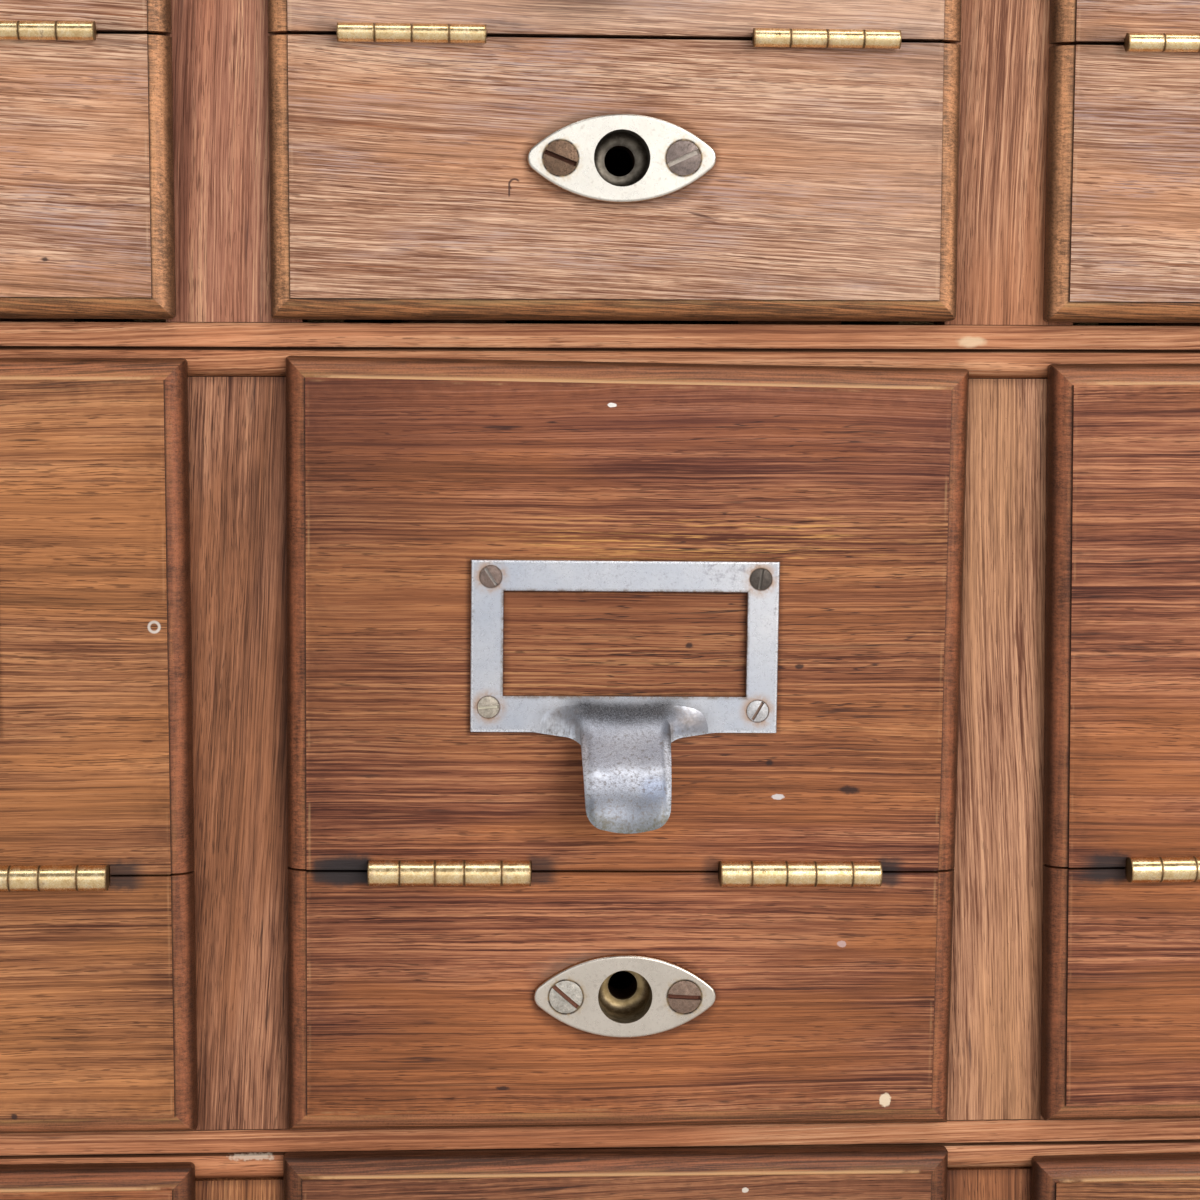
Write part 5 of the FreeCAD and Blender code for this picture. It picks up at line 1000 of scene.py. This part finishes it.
def back_extra(c):
    """Years against a wall: darker towards the floor, run streaks, pale dust patches, dark specks, darker lines at the
    board joins.
    """
    t = c["t"]
    mid = t.noise(c["mm"], 0.02, 4.0, 0.65)
    run = t.noise(t.vec(t.mul(c["x"], 0.12), t.mul(c["y"], 0.1), t.mul(c["z"], 0.006)), 1.0, 3.0, 0.6)
    fine = t.noise(c["mm"], 0.7, 3.0, 0.65)
    foot = t.step(t.add(c["z"], t.mul(t.sub(mid, 0.5), 220.0)), 190.0, 40.0)
    darken(c, t.mul(foot, 0.40))
    tint(c, t.mul(t.step(run, 0.56, 0.70), 0.22), (92, 72, 54))
    tint(c, t.mul(t.step(mid, 0.52, 0.70), 0.30), (164, 148, 128))
    tint(c, t.mul(t.step(fine, 0.68, 0.76), 0.5), (84, 62, 44))
    edge = t.step(absv(t, t.sub(t.math("FRACT", t.math("DIVIDE", t.add(c["x"], 297.5 + 59.5), 119.0)), 0.5)), 0.020, 0.0)
    darken(c, t.mul(edge, 0.45))


INNER_D = oak("inner_dark", "X", "XY", seed=44.0, pal=DARKB, wander=14, rings=0.12)
BOARDS = [oak("back_board_%d" % (i + 1), "Z", "XZ", seed=50.0 + 3.7 * i, wander=26, rings=0.11, pore=0.4, streak=0.45, extra=back_extra,
              pal=dict(PINE, mid=m, dark=tuple(v * 0.76 for v in m), light=tuple(v * 1.16 for v in m)))
          for i, m in enumerate(((168, 128, 88), (156, 116, 78), (172, 134, 96), (160, 122, 86), (150, 110, 74)))]
STEEL = steel("steel")

for n, m in (("front_rails", FRAME_H), ("side_panels", PANEL), ("top_board", TOP),
             ("partitions", INNER_Z), ("base_board", INNER_X), ("drawer_guides", INNER_Y), ("drawer_runners", INNER_Y),
             ("drawer_stops", INNER_D), ("back_cleat", INNER_X), ("plinth_bearers", INNER_X),
             ("back_screws", STEEL)):
    whole(nodes[n], m)


# stiles upright, rails along the depth
by_place(nodes["side_frames"], [CASE_V, CASE_Y],
         lambda cen, lo, hi: ((cen[:, 1] > -114.9) & (cen[:, 1] < 173.3)))
by_place(nodes["plinth"], [CASE_X, CASE_Y], lambda cen, lo, hi: (cen[:, 1] > -182.9) & (np.abs(cen[:, 0]) > 295.0))
by_place(nodes["back_boards"], BOARDS, lambda cen, lo, hi: np.clip(((cen[:, 0] + 297.5) / 119.0), 0, 4.99).astype(int))
for key in FRONTS:
    zr, xc = ROW_Z[key[0]], COL_X[key[1]] + XS

    def box_pick(cen, lo, hi, zr=zr, xc=xc):
        out = np.zeros(len(cen), np.int32)                      # sides, along the depth
        out[(cen[:, 1] > 186.0) & (np.abs(cen[:, 0] - xc) < 68.6)] = 1
        out[(np.abs(cen[:, 0] - xc) < 69.5) & (lo[:, 2] > zr + 7.9) & (hi[:, 2] < zr + 13.1)] = 2
        return out
    by_place(nodes["drawer_box_r%dc%d" % key], [INNER_Y, INNER_B, INNER_X], box_pick)

# ---------------------------------------------------------------------------
# Camera, light, floor
# ---------------------------------------------------------------------------
def camera():
    yaw, pitch, roll, f = 0.0516, 0.1102, 0.0036, 2452.13
    pos = Vector((-37.32 + XS, -604.50 + YS, 104.59 + 370.47)) / 1000.0
    fw = Vector((math.sin(yaw) * math.cos(pitch), math.cos(yaw) * math.cos(pitch), -math.sin(pitch)))
    r = Vector((math.cos(yaw), -math.sin(yaw), 0))
    u = r.cross(fw)
    r2 = r * math.cos(roll) + u * math.sin(roll)
    u2 = u * math.cos(roll) - r * math.sin(roll)
    cam = bpy.data.cameras.new("camera")
    cam.sensor_fit = "HORIZONTAL"
    cam.sensor_width = 36.0
    cam.lens = f / 1200.0 * 36.0
    cam.clip_start = 0.01
    o = bpy.data.objects.new("camera", cam)
    scene.collection.objects.link(o)
    m = Matrix((r2, u2, -fw)).transposed().to_4x4()
    m.translation = pos
    o.matrix_world = m
    scene.camera = o


def light(name, pos, target, size, power, col=(1, 1, 1)):
    a = bpy.data.lights.new(name, "AREA")
    a.shape = "RECTANGLE"
    a.size, a.size_y = size
    a.energy = power
    a.color = col
    o = bpy.data.objects.new(name, a)
    scene.collection.objects.link(o)
    d = Vector(target) - Vector(pos)
    o.matrix_world = Matrix.Translation(pos) @ d.to_track_quat("-Z", "Y").to_matrix().to_4x4()
    return o


camera()
light("key", (2.53, -4.38, 2.29), (0, -0.2, 0.38), (3.1, 2.6), 196.0, (1.0, 0.985, 0.96))
light("over", (0.25, -0.75, 2.4), (0, -0.22, 0.38), (2.0, 0.6), 13.0, (1.0, 0.99, 0.98))
light("front", (-1.4, -5.8, 1.5), (0, -0.2, 0.4), (6.8, 2.8), 68.0, (0.97, 0.985, 1.0))
light("back", (-2.2, 4.6, 2.6), (0, 0.2, 0.4), (4.0, 2.0), 90.0, (0.98, 0.99, 1.0))
w = bpy.data.worlds.new("studio")
w.use_nodes = True
bg = w.node_tree.nodes["Background"]
bg.inputs[0].default_value = (0.95, 0.97, 1.0, 1.0)
bg.inputs[1].default_value = 0.27
scene.world = w
scene.view_settings.view_transform = "Standard"

me = bpy.data.meshes.new("floor")
n = 64
me.from_pydata([(40.0 * math.cos(2 * math.pi * i / n), 40.0 * math.sin(2 * math.pi * i / n), 0.0) for i in range(n)], [], [tuple(range(n))])
fl = bpy.data.objects.new("floor", me)
scene.collection.objects.link(fl)
fm = bpy.data.materials.new("floor")
fm.use_nodes = True
fb = fm.node_tree.nodes["Principled BSDF"]
fb.inputs["Roughness"].default_value = 0.75
ft = Tree(fm.node_tree)
fc = ft.new("ShaderNodeTexCoord").outputs["Object"]
ft.l.new(ft.ramp(ft.noise(fc, 3.0, 4.0, 0.6), [(0.35, (0.77, 0.76, 0.745, 1.0)), (0.65, (0.81, 0.80, 0.785, 1.0))]), fb.inputs["Base Color"])
fbump = ft.new("ShaderNodeBump")
fbump.inputs["Strength"].default_value = 0.05
fbump.inputs["Distance"].default_value = 0.0005
ft.l.new(ft.noise(fc, 400.0, 3.0, 0.6), fbump.inputs["Height"])
ft.l.new(fbump.outputs[0], fb.inputs["Normal"])
me.materials.append(fm)
